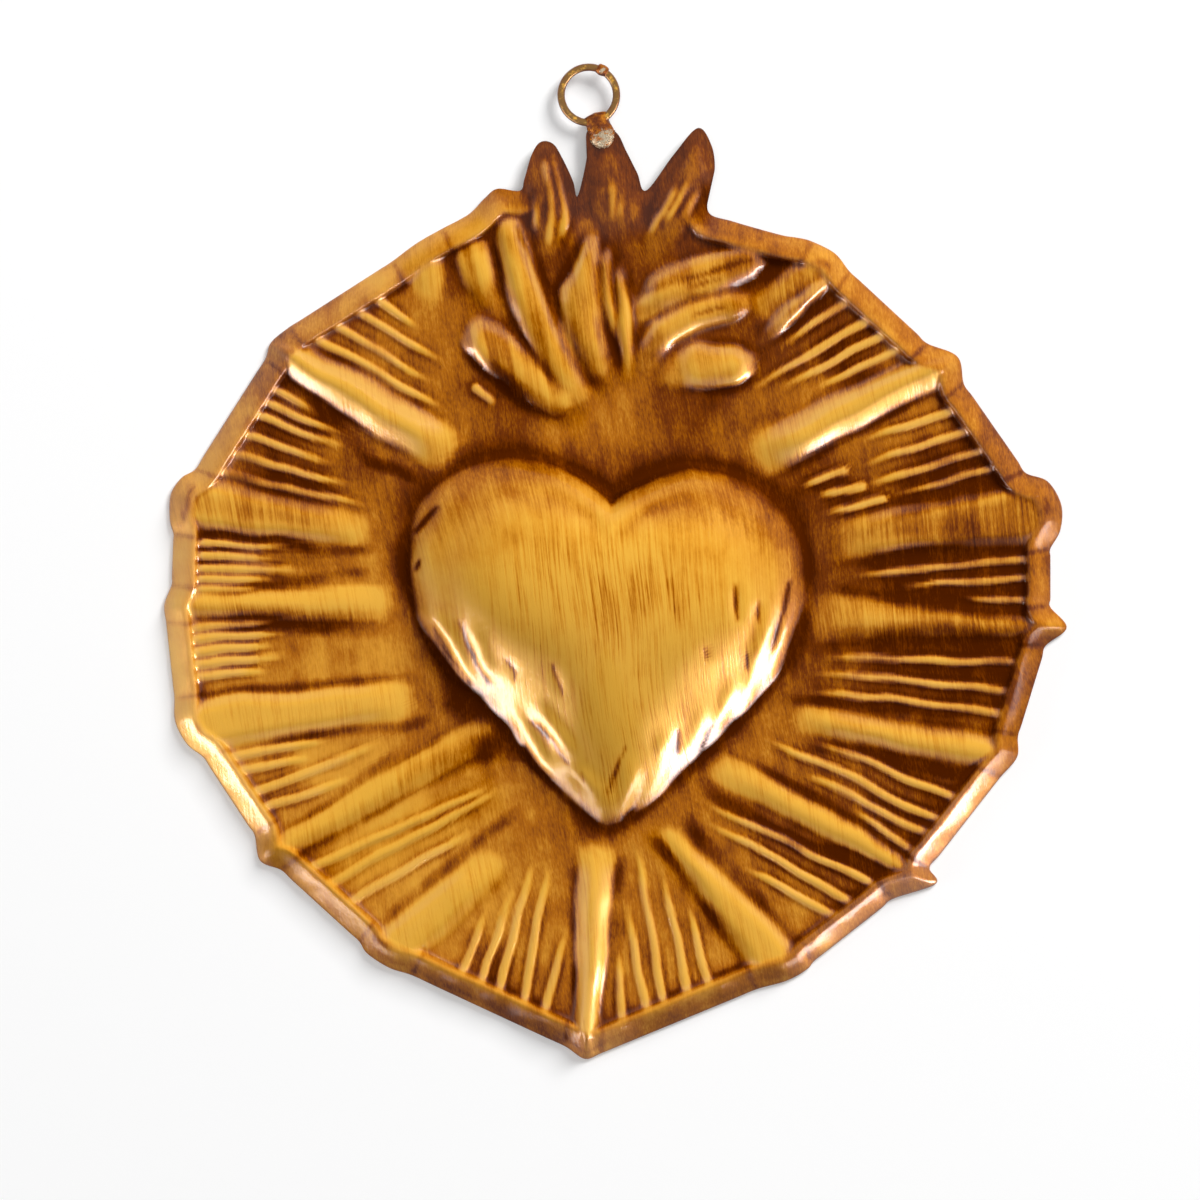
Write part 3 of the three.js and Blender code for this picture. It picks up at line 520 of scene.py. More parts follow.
class MilagroSheet(bpy.types.PropertyGroup):
    """Sizes of the stamping."""

    thickness: length("Thickness", 0.35, "Tinplate, measured straight up")
    ground: length("Ground", 1.0, "Recessed ground above the cut edge")
    rim: length("Rim", 0.95, "Rim's crest above the ground")
    slab: length("Slabs", 0.7, "Flat topped rays above the ground")
    spike: length("Spikes", 1.4, "Ridged rays above the ground")
    fine: length("Fine rays", 0.32, "Fine rays above the ground")
    leaf: length("Leaves", 1.2, "Flame leaves above the ground")
    rim_slope: length("Rim slope", 2.2, "Slope from the cut edge to the rim's crest")
    rim_wall: length("Rim wall", 0.5, "From the rim's crest down to the ground")
    shoulder: length("Slab shoulder", 2.0, "Rounded side of a flat topped ray")
    slab_rise: length("Slab rise", 6.0, "How far a flat topped ray fades in from its foot")
    spike_rise: length("Spike rise", 7.0, "How far a ridged ray fades in from its foot")
    spike_tip: length("Spike tip", 2.0, "Half width of a broad ridged ray near the rim")
    fine_half: length("Fine ray half width", 0.52, "From a fine ray's crest to the ground")
    fine_taper: length("Fine ray taper", 5.0, "How far a fine ray fades at its inner end")
    heart_width: length("Heart width", 40.2, "Width of the heart's outline")
    heart_length: length("Heart length", 37.0, "Length of the heart's outline")
    fold: length("Fold height", 0.45, "Folds down the heart's lower flanks")
    groove: length("Groove depth", 0.3, "Tool grooves in the leaves and the heart")
    bend: length("Bend", 0.22, "How far the stamping rounds off its bends")
    wander: length("Wander", 0.1, "How far hand tooled edges wander")
    dents: length("Dents", 0.04, "Unevenness of the stamped sheet")


class MilagroFinish(bpy.types.PropertyGroup):
    """Colours of the paint, the glaze and the solder."""

    recess: colour("Recess", "#481A00", "Glaze where it has pooled")
    shade: colour("Shade", "#703200", "Glaze where it is thick")
    amber: colour("Amber", "#A86002", "Glaze where it is thin")
    gold: colour("Gold", "#D08E28", "Gold paint under a film of glaze")
    bright: colour("Bright gold", "#DDA43A", "Gold paint wiped clean")
    back: colour("Back", "#7A5A34", "Thin wash on the back")
    wire: colour("Wire", "#7C5622", "Paint and glaze on the ring")
    solder: colour("Solder", "#A99A82", "Bare solder")


class MilagroRing(bpy.types.PropertyGroup):
    """Sizes of the ring and its solder."""

    wire: length("Wire", 0.78, "Diameter of the ring's wire")
    uneven: length("Unevenness", 0.03, "Waviness of the painted wire")
    grain: length("Solder grain", 0.11, "Radius of the largest grains on the bare solder")


class MilagroProperties(bpy.types.PropertyGroup):
    """Everything that a user would change."""

    sheet: bpy.props.PointerProperty(type=MilagroSheet, name="Sheet", description="Stamping")
    finish: bpy.props.PointerProperty(type=MilagroFinish, name="Finish", description="Colours")
    ring: bpy.props.PointerProperty(type=MilagroRing, name="Ring", description="Ring and solder")


def smooth(t):
    """Eases from 0 to 1."""
    c = np.clip(t, 0, 1)
    return c * c * (3 - 2 * c)


def mix(a, b, t):
    """A share of the way from one value to another."""
    return a + (b - a) * t


def on_sheet(place):
    """A place on the sheet in millimetres from its middle."""
    return np.array(place, float)[..., :2] * (SHEET_WIDTH / 100, SHEET_LENGTH / 100)


def even_path(places, half):
    """A path along places on the sheet with one half width, in millimetres."""
    return np.column_stack((on_sheet(places), np.full(len(places), half)))


class Field:
    """A map of the sheet in square cells, in millimetres from its middle."""

    def __init__(self, cell, margin, wander):
        self.cell = cell
        self.low = np.array((-SHEET_WIDTH / 2 - margin, -SHEET_LENGTH / 2 - margin))
        columns = int((SHEET_WIDTH + 2 * margin) / cell) + 1
        rows = int((SHEET_LENGTH + 2 * margin) / cell) + 1
        self.shape = (rows, columns)
        across = np.fft.rfftfreq(columns, cell)[None, :]
        along = np.fft.fftfreq(rows, cell)[:, None]
        self.waves = across ** 2 + along ** 2
        self.x, self.y = np.meshgrid(
            self.low[0] + cell * np.arange(columns), self.low[1] + cell * np.arange(rows)
        )
        # Hand tooled forms wander a little from their drawn lines
        self.tooled_x = self.x + wander * self.noise(1.3, 11)
        self.tooled_y = self.y + wander * self.noise(1.3, 12)

    def blur(self, values, spread):
        """Values spread out by so many millimetres."""
        kernel = np.exp(-2 * (np.pi * spread) ** 2 * self.waves)
        return np.fft.irfft2(np.fft.rfft2(values) * kernel, self.shape)

    def noise(self, grain, seed):
        """Random unevenness with grains of so many millimetres."""
        values = self.blur(np.random.default_rng(seed).standard_normal(self.shape), grain)
        return values / values.std()

    def clouds(self, amount, grain, seed):
        """Unevenness about 1."""
        return 1 + amount * self.noise(grain, seed)

    def streaks(self, across, along, bearing, seed):
        """Noise that runs along a bearing."""
        rows, columns = self.shape
        fx = np.fft.rfftfreq(columns, self.cell)[None, :]
        fy = np.fft.fftfreq(rows, self.cell)[:, None]
        c = np.cos(np.radians(bearing))
        s = np.sin(np.radians(bearing))
        waves = (along * (fx * c + fy * s)) ** 2 + (across * (fy * c - fx * s)) ** 2
        spectrum = np.fft.rfft2(np.random.default_rng(seed).standard_normal(self.shape))
        values = np.fft.irfft2(spectrum * np.exp(-2 * np.pi ** 2 * waves), self.shape)
        return values / values.std()

    def parted_streaks(self, across, along, left, right, parting):
        """Streaks with one bearing and seed left of a parting and another right of it."""
        return np.where(
            self.x <= parting, self.streaks(across, along, *left), self.streaks(across, along, *right)
        )

    def window(self, points, reach):
        """Cells within reach of the points' box."""
        low = np.floor((np.min(points, axis=0) - reach - self.low) / self.cell).astype(int)
        high = np.ceil((np.max(points, axis=0) + reach - self.low) / self.cell).astype(int) + 1
        low = np.maximum(low, 0)
        return slice(low[1], high[1]), slice(low[0], high[0])

    def sample(self, values, points):
        """Values at points, between the cells' middles."""
        at = (points - self.low) / self.cell
        cell = np.clip(np.floor(at).astype(int), 0, (self.shape[1] - 2, self.shape[0] - 2))
        u, v = (at - cell).T
        i, j = cell.T
        low = mix(values[j, i], values[j, i + 1], u)
        high = mix(values[j + 1, i], values[j + 1, i + 1], u)
        return mix(low, high, v)


class Heart:
    """The heart's outline round its centre, in millimetres."""

    def __init__(self, width, height):
        self.centre = on_sheet(HEART_CENTRE)
        self.round = (width + height) / 4
        t = np.arange(CURVE_STEPS)[:, None] / CURVE_STEPS
        points = []
        start = np.array(HEART_NOTCH)
        for curve in HEART_CURVES:
            a, b, end = np.array(curve)
            near = start * (1 - t) ** 3 + 3 * a * t * (1 - t) ** 2
            points.append(near + 3 * b * t * t * (1 - t) + end * t ** 3)
            start = end
        outline = np.concatenate(points) * (width, height)
        self.angles = np.arctan2(outline[:, 1], outline[:, 0])
        self.radii = np.hypot(outline[:, 0], outline[:, 1])

    def radius(self, angle):
        """Distance from the centre to the outline."""
        return np.interp(angle, self.angles, self.radii, period=2 * np.pi)

    def reach(self, radius, share):
        """Distance from the centre: the outline eases into a round crown."""
        return share * mix(self.round, radius, share * share)

    def share(self, x, y):
        """Share of the way from the crown to the outline, and the distance beyond the outline."""
        far = np.hypot(x - self.centre[0], y - self.centre[1])
        radius = self.radius(np.arctan2(y - self.centre[1], x - self.centre[0]))
        share = np.clip(far / radius, 0, 1)
        for _ in range(6):
            slope = self.round + 3 * (radius - self.round) * share ** 2
            share = np.clip(share - (self.reach(radius, share) - far) / slope, 0, 1)
        return np.where(far < radius, share, 1), far - radius

    def beyond(self, bearing, share, edge):
        """A foot: part of the way from the outline to the cut edge."""
        angle = np.radians(bearing)
        radius = self.radius(angle)
        far = radius + share * (np.hypot(*(edge - self.centre)) - radius)
        return self.centre + far * np.array((np.cos(angle), np.sin(angle)))


def ridge(field, out, path, lift, power, tapers=(0, 0)):
    """Raises a round ridge along a path of places and half widths, in millimetres."""
    path = np.array(path, float)
    steps = np.hypot(*np.diff(path[:, :2], axis=0).T)
    starts = np.concatenate(([0], np.cumsum(steps)))
    for a, b, step, start in zip(path, path[1:], steps, starts):
        part = field.window((a[:2], b[:2]), max(a[2], b[2]) + 1)
        x = field.tooled_x[part] - a[0]
        y = field.tooled_y[part] - a[1]
        dx, dy, widening = b - a
        t = np.clip((x * dx + y * dy) / step ** 2, 0, 1)
        off = np.hypot(x - t * dx, y - t * dy) / (a[2] + t * widening)
        along = start + t * step
        ends = 1
        for taper, run in zip(tapers, (along, starts[-1] - along)):
            ends = ends * (smooth(run / taper) if taper else 1)
        np.maximum(out[part], lift * ends * np.clip(1 - off ** 2, 0, 1) ** power, out=out[part])


def ridges(field, lines, half, lift, power, tapers):
    """A map of ridges, all alike, along lines of places on the sheet."""
    out = np.zeros(field.shape)
    for line in lines:
        ridge(field, out, even_path(line, half), lift, power, tapers)
    return out


def spike_section(below, half, t):
    """Section of a broad ridged ray: a rounded upper side and a narrow flank below."""
    run = np.minimum(mix(*SPIKE_FLANK, np.clip(t, 0, 1)), 0.9 * half)
    flank = 1 - np.clip(1 - (half - below) / run, 0, 1) ** SPIKE_SECTION
    flank = np.clip(flank, 0, 1) * (below < half)
    return np.where(below > 0, flank, np.minimum(flank, smooth(1.1 + 1.1 * below / half)))


def thick_ray(field, out, cover, heart, ray, sheet):
    """Raises one flat topped or ridged ray, and marks where it is wiped."""
    form, feet, edge = ray
    edge = on_sheet(edge)
    run_in = 0 if form == "slab" else SPIKE_RUN_IN
    left = heart.beyond(feet[0][0], feet[0][1] - run_in, edge[0])
    right = heart.beyond(feet[1][0], feet[1][1] - run_in, edge[-1])
    foot = (left + right) / 2
    tip = (edge[0] + edge[-1]) / 2 if form == "slab" else edge[1]
    axis = tip - foot
    reach = np.hypot(*axis)
    side = np.array((-axis[1], axis[0])) / reach
    foot_half = abs((left - right) @ side) / 2
    part = field.window((left, right, *edge), 2)
    x = field.tooled_x[part] - foot[0]
    y = field.tooled_y[part] - foot[1]
    t = (x * axis[0] + y * axis[1]) / reach ** 2
    off = x * side[0] + y * side[1]
    if form == "slab":
        tip_half = abs((edge[0] - edge[-1]) @ side) / 2
        half = mix(foot_half, tip_half, np.clip(t, 0, 1))
        body = smooth((half - np.abs(off)) / sheet.shoulder)
        lift, rise = sheet.slab, sheet.slab_rise
    else:
        tallness, slimness = RIDGE_SHARES[form]
        half = mix(foot_half, sheet.spike_tip * slimness, np.clip(t, 0, 1))
        half = half * (1 - RIDGE_NARROWING * smooth((t - RIDGE_END) / (1 - RIDGE_END)))
        if form == "spike":
            body = spike_section(off if side[1] < 0 else -off, half, t)
        else:
            inner, outer = RIDGE_SECTION
            body = np.clip(1 - (np.abs(off) / half) ** inner, 0, 1) ** outer
        lift, rise = sheet.spike * tallness, sheet.spike_rise
    np.maximum(out[part], lift * body * smooth(t * reach / rise), out=out[part])
    np.maximum(cover[part], np.sqrt(body) * smooth(t * reach / RAY_WIPED_RISE), out=cover[part])


def edge_points():
    """Points of the cut edge, anticlockwise: place, bearing at the heart, and freedom from the rim."""
    rows = []
    for i, (_, feet, edge) in enumerate(RAYS):
        places = on_sheet(edge)
        for k, place in enumerate(places):
            rows.append((*place, mix(feet[0][0], feet[1][0], k / (len(places) - 1)), 0))
        if i + 1 < len(RAYS):
            # Points on the straight rim between two rays keep it straight
            _, next_feet, next_edge = RAYS[i + 1]
            following = on_sheet(next_edge[0])
            for t in (0.15, 0.5, 0.85):
                rows.append((*mix(places[-1], following, t), mix(feet[1][0], next_feet[0][0], t), 0))
    for bearing, x, y, free in FLAME_EDGE:
        rows.append((*on_sheet((x, y)), bearing, free))
    x, y, bearing, free = rows[0]
    rows.append((x, y, bearing + 360, free))
    return np.array(rows)


def cut_outline():
    """Lines of the sheet, anticlockwise: cut edge, bearing at the heart, and freedom from the rim."""
    points = edge_points()
    # A smooth curve through the points, then lines at even steps along it
    t = (np.arange(CURVE_STEPS) / CURVE_STEPS)[None, :, None]
    a, b, c, d = (np.roll(points[:-1, :2], k, axis=0)[:, None, :] for k in (1, 0, -1, -2))
    square = (2 * a - 5 * b + 4 * c - d) * t ** 2
    cube = (3 * b - a - 3 * c + d) * t ** 3
    curve = (0.5 * (2 * b + (c - a) * t + square + cube)).reshape(-1, 2)
    curve = np.vstack((curve, curve[:1]))
    run = np.concatenate(([0], np.cumsum(np.hypot(*np.diff(curve, axis=0).T))))
    at = np.linspace(0, run[-1], LINES, endpoint=False)
    edge = np.column_stack([np.interp(at, run, curve[:, k]) for k in (0, 1)])
    knot = np.interp(at, run, np.arange(len(curve)) / CURVE_STEPS)
    bearing, free = (np.interp(knot, np.arange(len(points)), points[:, k]) for k in (2, 3))
    return edge, np.radians(bearing), free


def edge_distance(field, edge, free):
    """Distance to the cut edge, and how far the nearest edge is free of the rim."""
    distance = np.full(field.shape, 9.0)
    freedom = np.zeros(field.shape)
    for a, b, f in zip(edge, np.roll(edge, -1, axis=0), free):
        part = field.window((a, b), 4)
        x = field.x[part] - a[0]
        y = field.y[part] - a[1]
        dx, dy = b - a
        t = np.clip((x * dx + y * dy) / (dx * dx + dy * dy), 0, 1)
        off = np.hypot(x - t * dx, y - t * dy)
        nearer = off < distance[part]
        distance[part] = np.where(nearer, off, distance[part])
        freedom[part] = np.where(nearer, f, freedom[part])
    return distance, freedom


class Stamping:
    """The stamped face as maps of the sheet: its forms, height and finish. Sizes are in millimetres."""

    def __init__(self, field, heart, edge, free, sheet):
        self.field = field
        self.heart = heart
        self.sheet = sheet
        self.ground = sheet.thickness + sheet.ground
        self.share, self.beyond = heart.share(field.tooled_x, field.tooled_y)
        self.on_heart = self.beyond < 0
        self.bearing = np.arctan2(field.y - heart.centre[1], field.x - heart.centre[0])
        # From a little above the heart's centre downwards
        self.lower = smooth((heart.centre[1] + 6 - field.y) / 10)
        # The heart's flanks are broad below, and at the right they are wiped right down to the ground
        self.broad = smooth((0.7 - np.sin(self.bearing)) / 1.1)
        self.on_flank = self.broad * self.on_heart
        self.right_flank, self.left_flank = (
            smooth((self.facing(bearing) - 0.35) / 0.5) for bearing in FLANK_BEARINGS
        )
        self.distance, freedom = edge_distance(field, edge, free)
        self.freedom = field.blur(freedom, 0.6)
        self.bead = smooth((sheet.rim_slope + sheet.rim_wall - self.distance) / sheet.rim_wall)
        self.on_rim = self.bead * (1 - self.freedom)
        self.swell = self.heart_swell()
        self.thick, self.thick_cover = self.thick_rays()
        self.leaf, self.tips, self.carved = self.flame_leaves()
        self.fine = self.fine_rays()
        self.furrow, self.crease = self.grooves()
        self.lines = ridges(field, FLAME_LINES, FLAME_LINE_HALF, 1, 1, (1.5, 1.5))
        self.height = self.stamped_height()
        self.wiped = self.glaze_and_painted_light()

    def facing(self, bearing):
        """How far each place lies towards a bearing from the heart's centre, 1 there and -1 opposite."""
        return np.cos(self.bearing - np.radians(bearing))

    def heart_swell(self):
        """Share of the crown's height: a flat top, and even slopes down the lower flanks."""
        field, centre = self.field, self.heart.centre
        far = np.hypot(field.tooled_x - centre[0], field.tooled_y - centre[1])
        radius = far - self.beyond
        steepness = FLANK_SLOPE * radius / (SHEET_CROWN - self.ground)
        flank = 1 - np.clip(far / radius, 0, 1) ** steepness
        swell = mix(1 - self.share ** HEART_FLATNESS, flank, self.broad)
        swell = mix(swell, field.blur(swell, CROWN_ROUNDING), smooth((-self.beyond - 1) / 4))
        return swell / swell.max()

    def thick_rays(self):
        """Thick rays, and where they are wiped."""
        lift = np.zeros(self.field.shape)
        cover = np.zeros(self.field.shape)
        for ray in RAYS:
            thick_ray(self.field, lift, cover, self.heart, ray, self.sheet)
        return lift, cover

    def flame_leaves(self):
        """Leaves, free tips, and the carved lines that run along the leaves."""
        leaf = np.zeros(self.field.shape)
        tips = np.zeros(self.field.shape)
        for k, path in enumerate(LEAVES):
            placed = np.column_stack((on_sheet(path), np.array(path)[:, 2]))
            lift = self.sheet.leaf * (LOW_LEAF_SHARE if k < LOW_LEAVES else 1)
            ridge(self.field, tips if k < FLAME_TIPS else leaf, placed, lift, 0.65, (3, 6))
        carved = self.field.parted_streaks(*CARVED_STREAKS, CARVED_PARTING)
        carved = carved * smooth(leaf / (0.5 * self.sheet.leaf))
        return leaf + CARVED_DEPTH * carved, tips, carved

    def fine_rays(self):
        """Fine rays, which fade at their inner ends and run on under the rim."""
        fine = np.zeros(self.field.shape)
        half = self.sheet.fine_half
        for x, y, inner_x, inner_y in FINE_RAYS:
            inner, outer = on_sheet(((inner_x, inner_y), (x, y)))
            run = outer - inner
            reach = np.hypot(*run)
            path = ((*inner, half * 0.7), (*(outer + 0.8 * run / reach), half))
            taper = min(self.sheet.fine_taper, 0.5 * reach)
            ridge(self.field, fine, path, self.sheet.fine, 0.8, (taper, 0))
        return fine

    def grooves(self):
        """Soft furrows, slighter on the heart's flanks, and the sharp creases at their bottoms."""
        field, centre, depth = self.field, self.heart.centre, self.sheet.groove
        furrow = np.zeros(field.shape)
        crease = np.zeros(field.shape)
        for lines, half, share, dark in GROOVES:
            for line in lines:
                ridge(field, furrow, even_path(line, half), depth * share, 1.5, (2, 2))
                ridge(field, crease, even_path(line, CREASE_HALF), dark, 1, (0.8, 0.8))
        for _, _, cut in RAYS:
            for end in on_sheet((cut[0], cut[-1])):
                inward = (centre - end) / np.hypot(*(centre - end))
                start, stop = (end + run * inward for run in NICK_RUN)
                ridge(field, furrow, ((*start, NICK_HALF), (*stop, NICK_HALF)), depth, 1.5)
                ridge(field, crease, ((*start, CREASE_HALF), (*stop, CREASE_HALF)), NICK_DARK, 1)
        return furrow * (1 - 0.75 * self.on_flank), crease

    def folds(self):
        """Folds down the heart's lower flanks, leaning in towards its point."""
        fold = ridges(self.field, HEART_FOLDS, FOLD_HALF, self.sheet.fold, 1.3, (3, 3))
        streaks = self.field.parted_streaks(*FOLD_STREAKS, self.heart.centre[0])
        flank = smooth((self.share - 0.6) / 0.3) * smooth((1.02 - self.share) / 0.12) * self.lower
        fold += streaks * flank * 0.4 * self.sheet.fold
        return fold * (1 - np.maximum(0.6 * self.right_flank, 0.35 * self.left_flank))

    def stamped_height(self):
        """Height of the face above the plane of the cut edge's underside."""
        field, sheet, distance = self.field, self.sheet, self.distance
        heart_lift = (SHEET_CROWN - self.ground) * self.swell
        raised = np.maximum.reduce((self.thick, self.leaf, self.tips, heart_lift))
        forms = field.blur(raised + self.folds() - self.furrow, sheet.bend)
        forms = np.maximum(forms, self.fine) + FLAME_LINE_LIFT * self.lines
        forms -= CREASE_DEPTH * (1 - 0.6 * self.on_flank) * self.crease
        # The rim rolls down to the cut edge, except where a flame is free of it
        roll = np.clip(1 - distance / sheet.rim_slope, 0, 1)
        lip = sheet.thickness + sheet.ground * self.freedom
        inner = self.ground + np.maximum(forms, sheet.rim * self.on_rim)
        height = lip + (inner - lip) * (1 - roll ** 1.3)
        dents = sum(amount * field.noise(grain, seed) for amount, grain, seed in DENTS)
        height += sheet.dents * dents * smooth((distance - 0.3) / 2)
        amount, grain, seed = RIM_DENTS
        height += amount * field.noise(grain, seed) * self.bead * smooth(distance / 0.8)
        return np.minimum(field.blur(height, 0.1), SHEET_CROWN)

    def glaze_and_painted_light(self):
        """How far the glaze is wiped off: it stays in the recesses and is gone from what stands proud.
        Painted light and shade are added to it in places.
        """
        field, distance, crease = self.field, self.distance, self.crease
        wiped = WIPED_GROUND + self.wiped_forms()
        pooled = field.clouds(*POOLING)
        inside = smooth((distance - 0.3) / 1.2)
        for width, depth, amount in POOLS:
            hollow = np.clip((self.height - field.blur(self.height, width)) / depth, -1, 0.35)
            wiped += amount * pooled * inside * hollow
        wiped -= self.heart_moat()
        wiped += 0.09 * self.carved + 0.34 * self.lines
        run = np.zeros(field.shape)
        for half, depth, *places in GLAZE_RUNS:
            ridge(field, run, even_path(places, half), depth, 1.2, (3, 3))
        wiped -= run * np.clip(pooled, 0.5, 1.3)
        # Patches that lighten or darken, some of them painted light
        for x, y, radius, change in TONE_AND_LIGHT_PATCHES:
            place = on_sheet((x, y))
            away = np.hypot(field.x - place[0], field.y - place[1]) / radius
            wiped += change * np.exp(-away ** 2)
        # The rim's tone, with its painted sheen on the left
        wiped = mix(wiped, self.rim_tone(), 0.92 * self.on_rim)
        # Glaze darkens the creases, and painted shade darkens the line along the cut edge
        wiped -= 0.5 * crease + 0.1 * smooth(1 - distance / 0.4)
        wiped += sum(amount * field.noise(grain, seed) for amount, grain, seed in GLAZE_CLOUDS)
        return np.clip(field.blur(wiped, 0.1), 0, 1)

    def wiped_forms(self):
        """How much further the glaze is wiped off the raised forms than off the ground."""
        field, sheet = self.field, self.sheet
        leaf = field.blur(self.leaf, 0.4)
        return np.maximum.reduce((
            WIPED_HEART * smooth(self.swell / (0.8 - 0.6 * self.broad)),
            WIPED_RAY * smooth(self.thick_cover / 0.7),
            WIPED_FINE * smooth(self.fine / (0.8 * sheet.fine)) * field.clouds(*FINE_CLOUDS),
            WIPED_LEAF * smooth(leaf / (0.5 * sheet.leaf)) * field.clouds(*LEAF_CLOUDS),
            WIPED_TIP * smooth(self.tips / (0.3 * sheet.leaf)),
        ))

    def heart_moat(self):
        """Glaze round the heart, pooled most at the upper left and least at the lower right, and a darker
        line along its lower base. The edges of its upper lobes are darkened by glaze and painted shade.
        """
        beyond = self.beyond
        depth, width = (
            mean + swing * self.facing(bearing) for mean, swing, bearing in (MOAT_DEPTH, MOAT_WIDTH)
        )
        moat = depth * smooth(1 - beyond / width) * smooth(1 + beyond / 0.5)
        seam = smooth(1 - np.abs(beyond - 0.25) / 0.5)
        moat += 0.3 * self.lower * (1 - 0.8 * self.right_flank) * seam
        # Glaze and painted shade on the edges of the upper lobes
        moat += 0.08 * (1 - self.lower) * smooth((self.share - 0.55) / 0.35) * self.on_heart
        return moat

    def rim_finish(self):
        """How far the rim's slope and crest are wiped, and the rim's gloss."""
        bearings, *columns = np.array(RIM_FINISH, float).T
        degrees = np.degrees(self.bearing)
        return [np.interp(degrees, bearings, each, period=360) for each in columns]

    def rim_tone(self):
        """How far the rim is wiped, with a painted sheen on the left. At the bottom a darker line runs along
        it, 0.75 mm in from the cut edge.
        """
        on_slope, on_crest, _ = self.rim_finish()
        tone = mix(on_slope, on_crest, smooth((self.distance - 1.3) / 0.6))
        at_bottom = smooth((self.facing(262) - 0.72) / 0.15)
        return tone - 0.22 * at_bottom * smooth(1 - np.abs(self.distance - 0.75) / 0.4)

    def gloss(self):
        """Weight of the lacquer: flat parts are rubbed matt, flanks keep it, and pooled glaze is duller."""
        field = self.field
        steep = field.blur(np.hypot(*np.gradient(self.height, field.cell)), 0.3)
        flank = smooth((steep - np.where(self.on_heart, HEART_GLOSS_SLOPE, GLOSS_SLOPE)) / 0.28)
        gloss = np.clip((self.wiped - 0.1) / 0.35, 0, 1) * mix(RUBBED_SHARE, 1, flank)
        at_point = smooth((-np.sin(self.bearing) - 0.88) / 0.09)
        gloss *= np.where(self.on_heart, mix(0.3, 1, self.lower) * (1 - 0.7 * at_point), 1)
        gloss = np.maximum(gloss, TIP_GLOSS * self.freedom)
        gloss = mix(gloss, np.minimum(gloss, self.rim_finish()[2]), self.on_rim)
        dull = np.zeros(field.shape)
        for half, *places in DULL_RUNS:
            ridge(field, dull, even_path(places, half), 1, 0.8, (1, 1))
        shining = np.maximum(self.right_flank, 0.8 * self.left_flank)
        dull = np.maximum(dull, smooth(1 - np.abs(self.beyond - 0.1) / 0.9) * (1 - shining))
        return LACQUER * gloss * (1 - DULL_LOSS * dull)

    def brushed(self):
        """How strongly brush strokes show: on what stands proud, less on the rim and the heart's lobes."""
        proud = np.maximum.reduce((
            smooth(self.swell / 0.3),
            RAY_STROKES * self.thick_cover,
            LEAF_STROKES * smooth(self.leaf),
            FINE_STROKES * smooth(self.fine / 0.2),
        ))
        brushed = mix(GROUND_STROKES, 1, np.clip(proud, 0, 1)) * (1 - 0.7 * self.on_rim)
        lobes = (1 - self.lower) * smooth((self.share - 0.4) / 0.35)
        brushed *= np.where(self.on_heart, 1 - 0.7 * lobes, 1)
        return self.field.blur(brushed, 0.2)


def lowest_near(values, cells):
    """Lowest value within some cells each way."""
    for axis in (0, 1):
        values = np.minimum.reduce([np.roll(values, k, axis) for k in range(-cells, cells + 1)])
    return values


def stitched(inner, outer):
    """Faces between two rings of points, of which the outer may have twice as many."""
    after = np.roll(inner, -1)
    if len(inner) == len(outer):
        return np.column_stack((inner, outer, np.roll(outer, -1), after)).tolist()
    even, odd = outer[0::2], outer[1::2]
    fan = [(inner, even, odd), (inner, odd, after), (after, odd, np.roll(even, -1))]
    return [face for three in fan for face in np.column_stack(three).tolist()]


def row_shares(field, interest, start, end, rows):
    """Shares of the way along each line at which its rows lie, closer where there is more to show."""
    steps = np.linspace(0, 1, 4 * rows)
    amount = np.stack([field.sample(interest, mix(start, end, t)) for t in steps], axis=1)
    amount = sum(np.roll(amount, k, axis=0) for k in range(-6, 7))
    run = np.cumsum((amount[:, 1:] + amount[:, :-1]) / 2, axis=1)
    run = np.column_stack((np.zeros(LINES), run / run[:, -1:]))
    wanted = np.arange(rows) / rows
    return np.stack([np.interp(wanted, each, steps) for each in run], axis=1)[..., None]


def sheet_rings(field, interest, heart, edge, bearing, rim_width, groups):
    """Rings of places from the heart's crown to the cut edge, and the stride between the lines they take."""
    radius = heart.radius(bearing)
    outline = heart.centre + radius[:, None] * np.column_stack((np.cos(bearing), np.sin(bearing)))
    inward = outline - edge
    rim = edge + rim_width * inward / np.hypot(*inward.T)[:, None]
    crown = mix(heart.centre, outline, 0.05)
    rings = []
    for (rows, strides), start, end in zip(groups, (crown, outline, rim), (outline, rim, edge)):
        for k, shares in enumerate(row_shares(field, interest, start, end, rows)):
            stride = next(step for limit, step in strides if k < limit * rows)
            rings.append((stride, mix(start, end, shares)))
    rings.append((1, edge))
    return rings


def sheet_skin(field, height, rings, crown, edge_height, start):
    """Points and faces of one side of the sheet. Points are in millimetres from its middle."""
    points = [(*crown, field.sample(height, crown[None, :])[0])]
    faces = []
    before = None
    for stride, places in rings:
        at_edge = places is rings[-1][1]
        places = places[::stride]
        heights = edge_height if at_edge else field.sample(height, places)
        ring = start + len(points) + np.arange(len(places))
        points.extend(np.column_stack((places, heights)).tolist())
        if before is None:
            centre = np.full(len(ring), start)
            faces += np.column_stack((centre, ring, np.roll(ring, -1))).tolist()
        else:
            faces += stitched(before, ring)
        before = ring
    return points, faces, before


def add_node(tree, kind, inputs=None, stops=None, **settings):
    """Adds a node with its settings, its inputs (a value or another node's output) and any colour stops."""
    made = tree.nodes.new(kind)
    for key, value in settings.items():
        setattr(made, key, value)
    for key, value in (inputs or {}).items():
        if isinstance(value, bpy.types.NodeSocket):
            tree.links.new(value, made.inputs[key])
        else:
            made.inputs[key].default_value = value
    if stops:
        elements = made.color_ramp.elements
        while len(elements) < len(stops):
            elements.new(1)
        for element, (place, shade) in zip(elements, stops):
            element.position = place
            element.color = (*shade, 1)
    return made


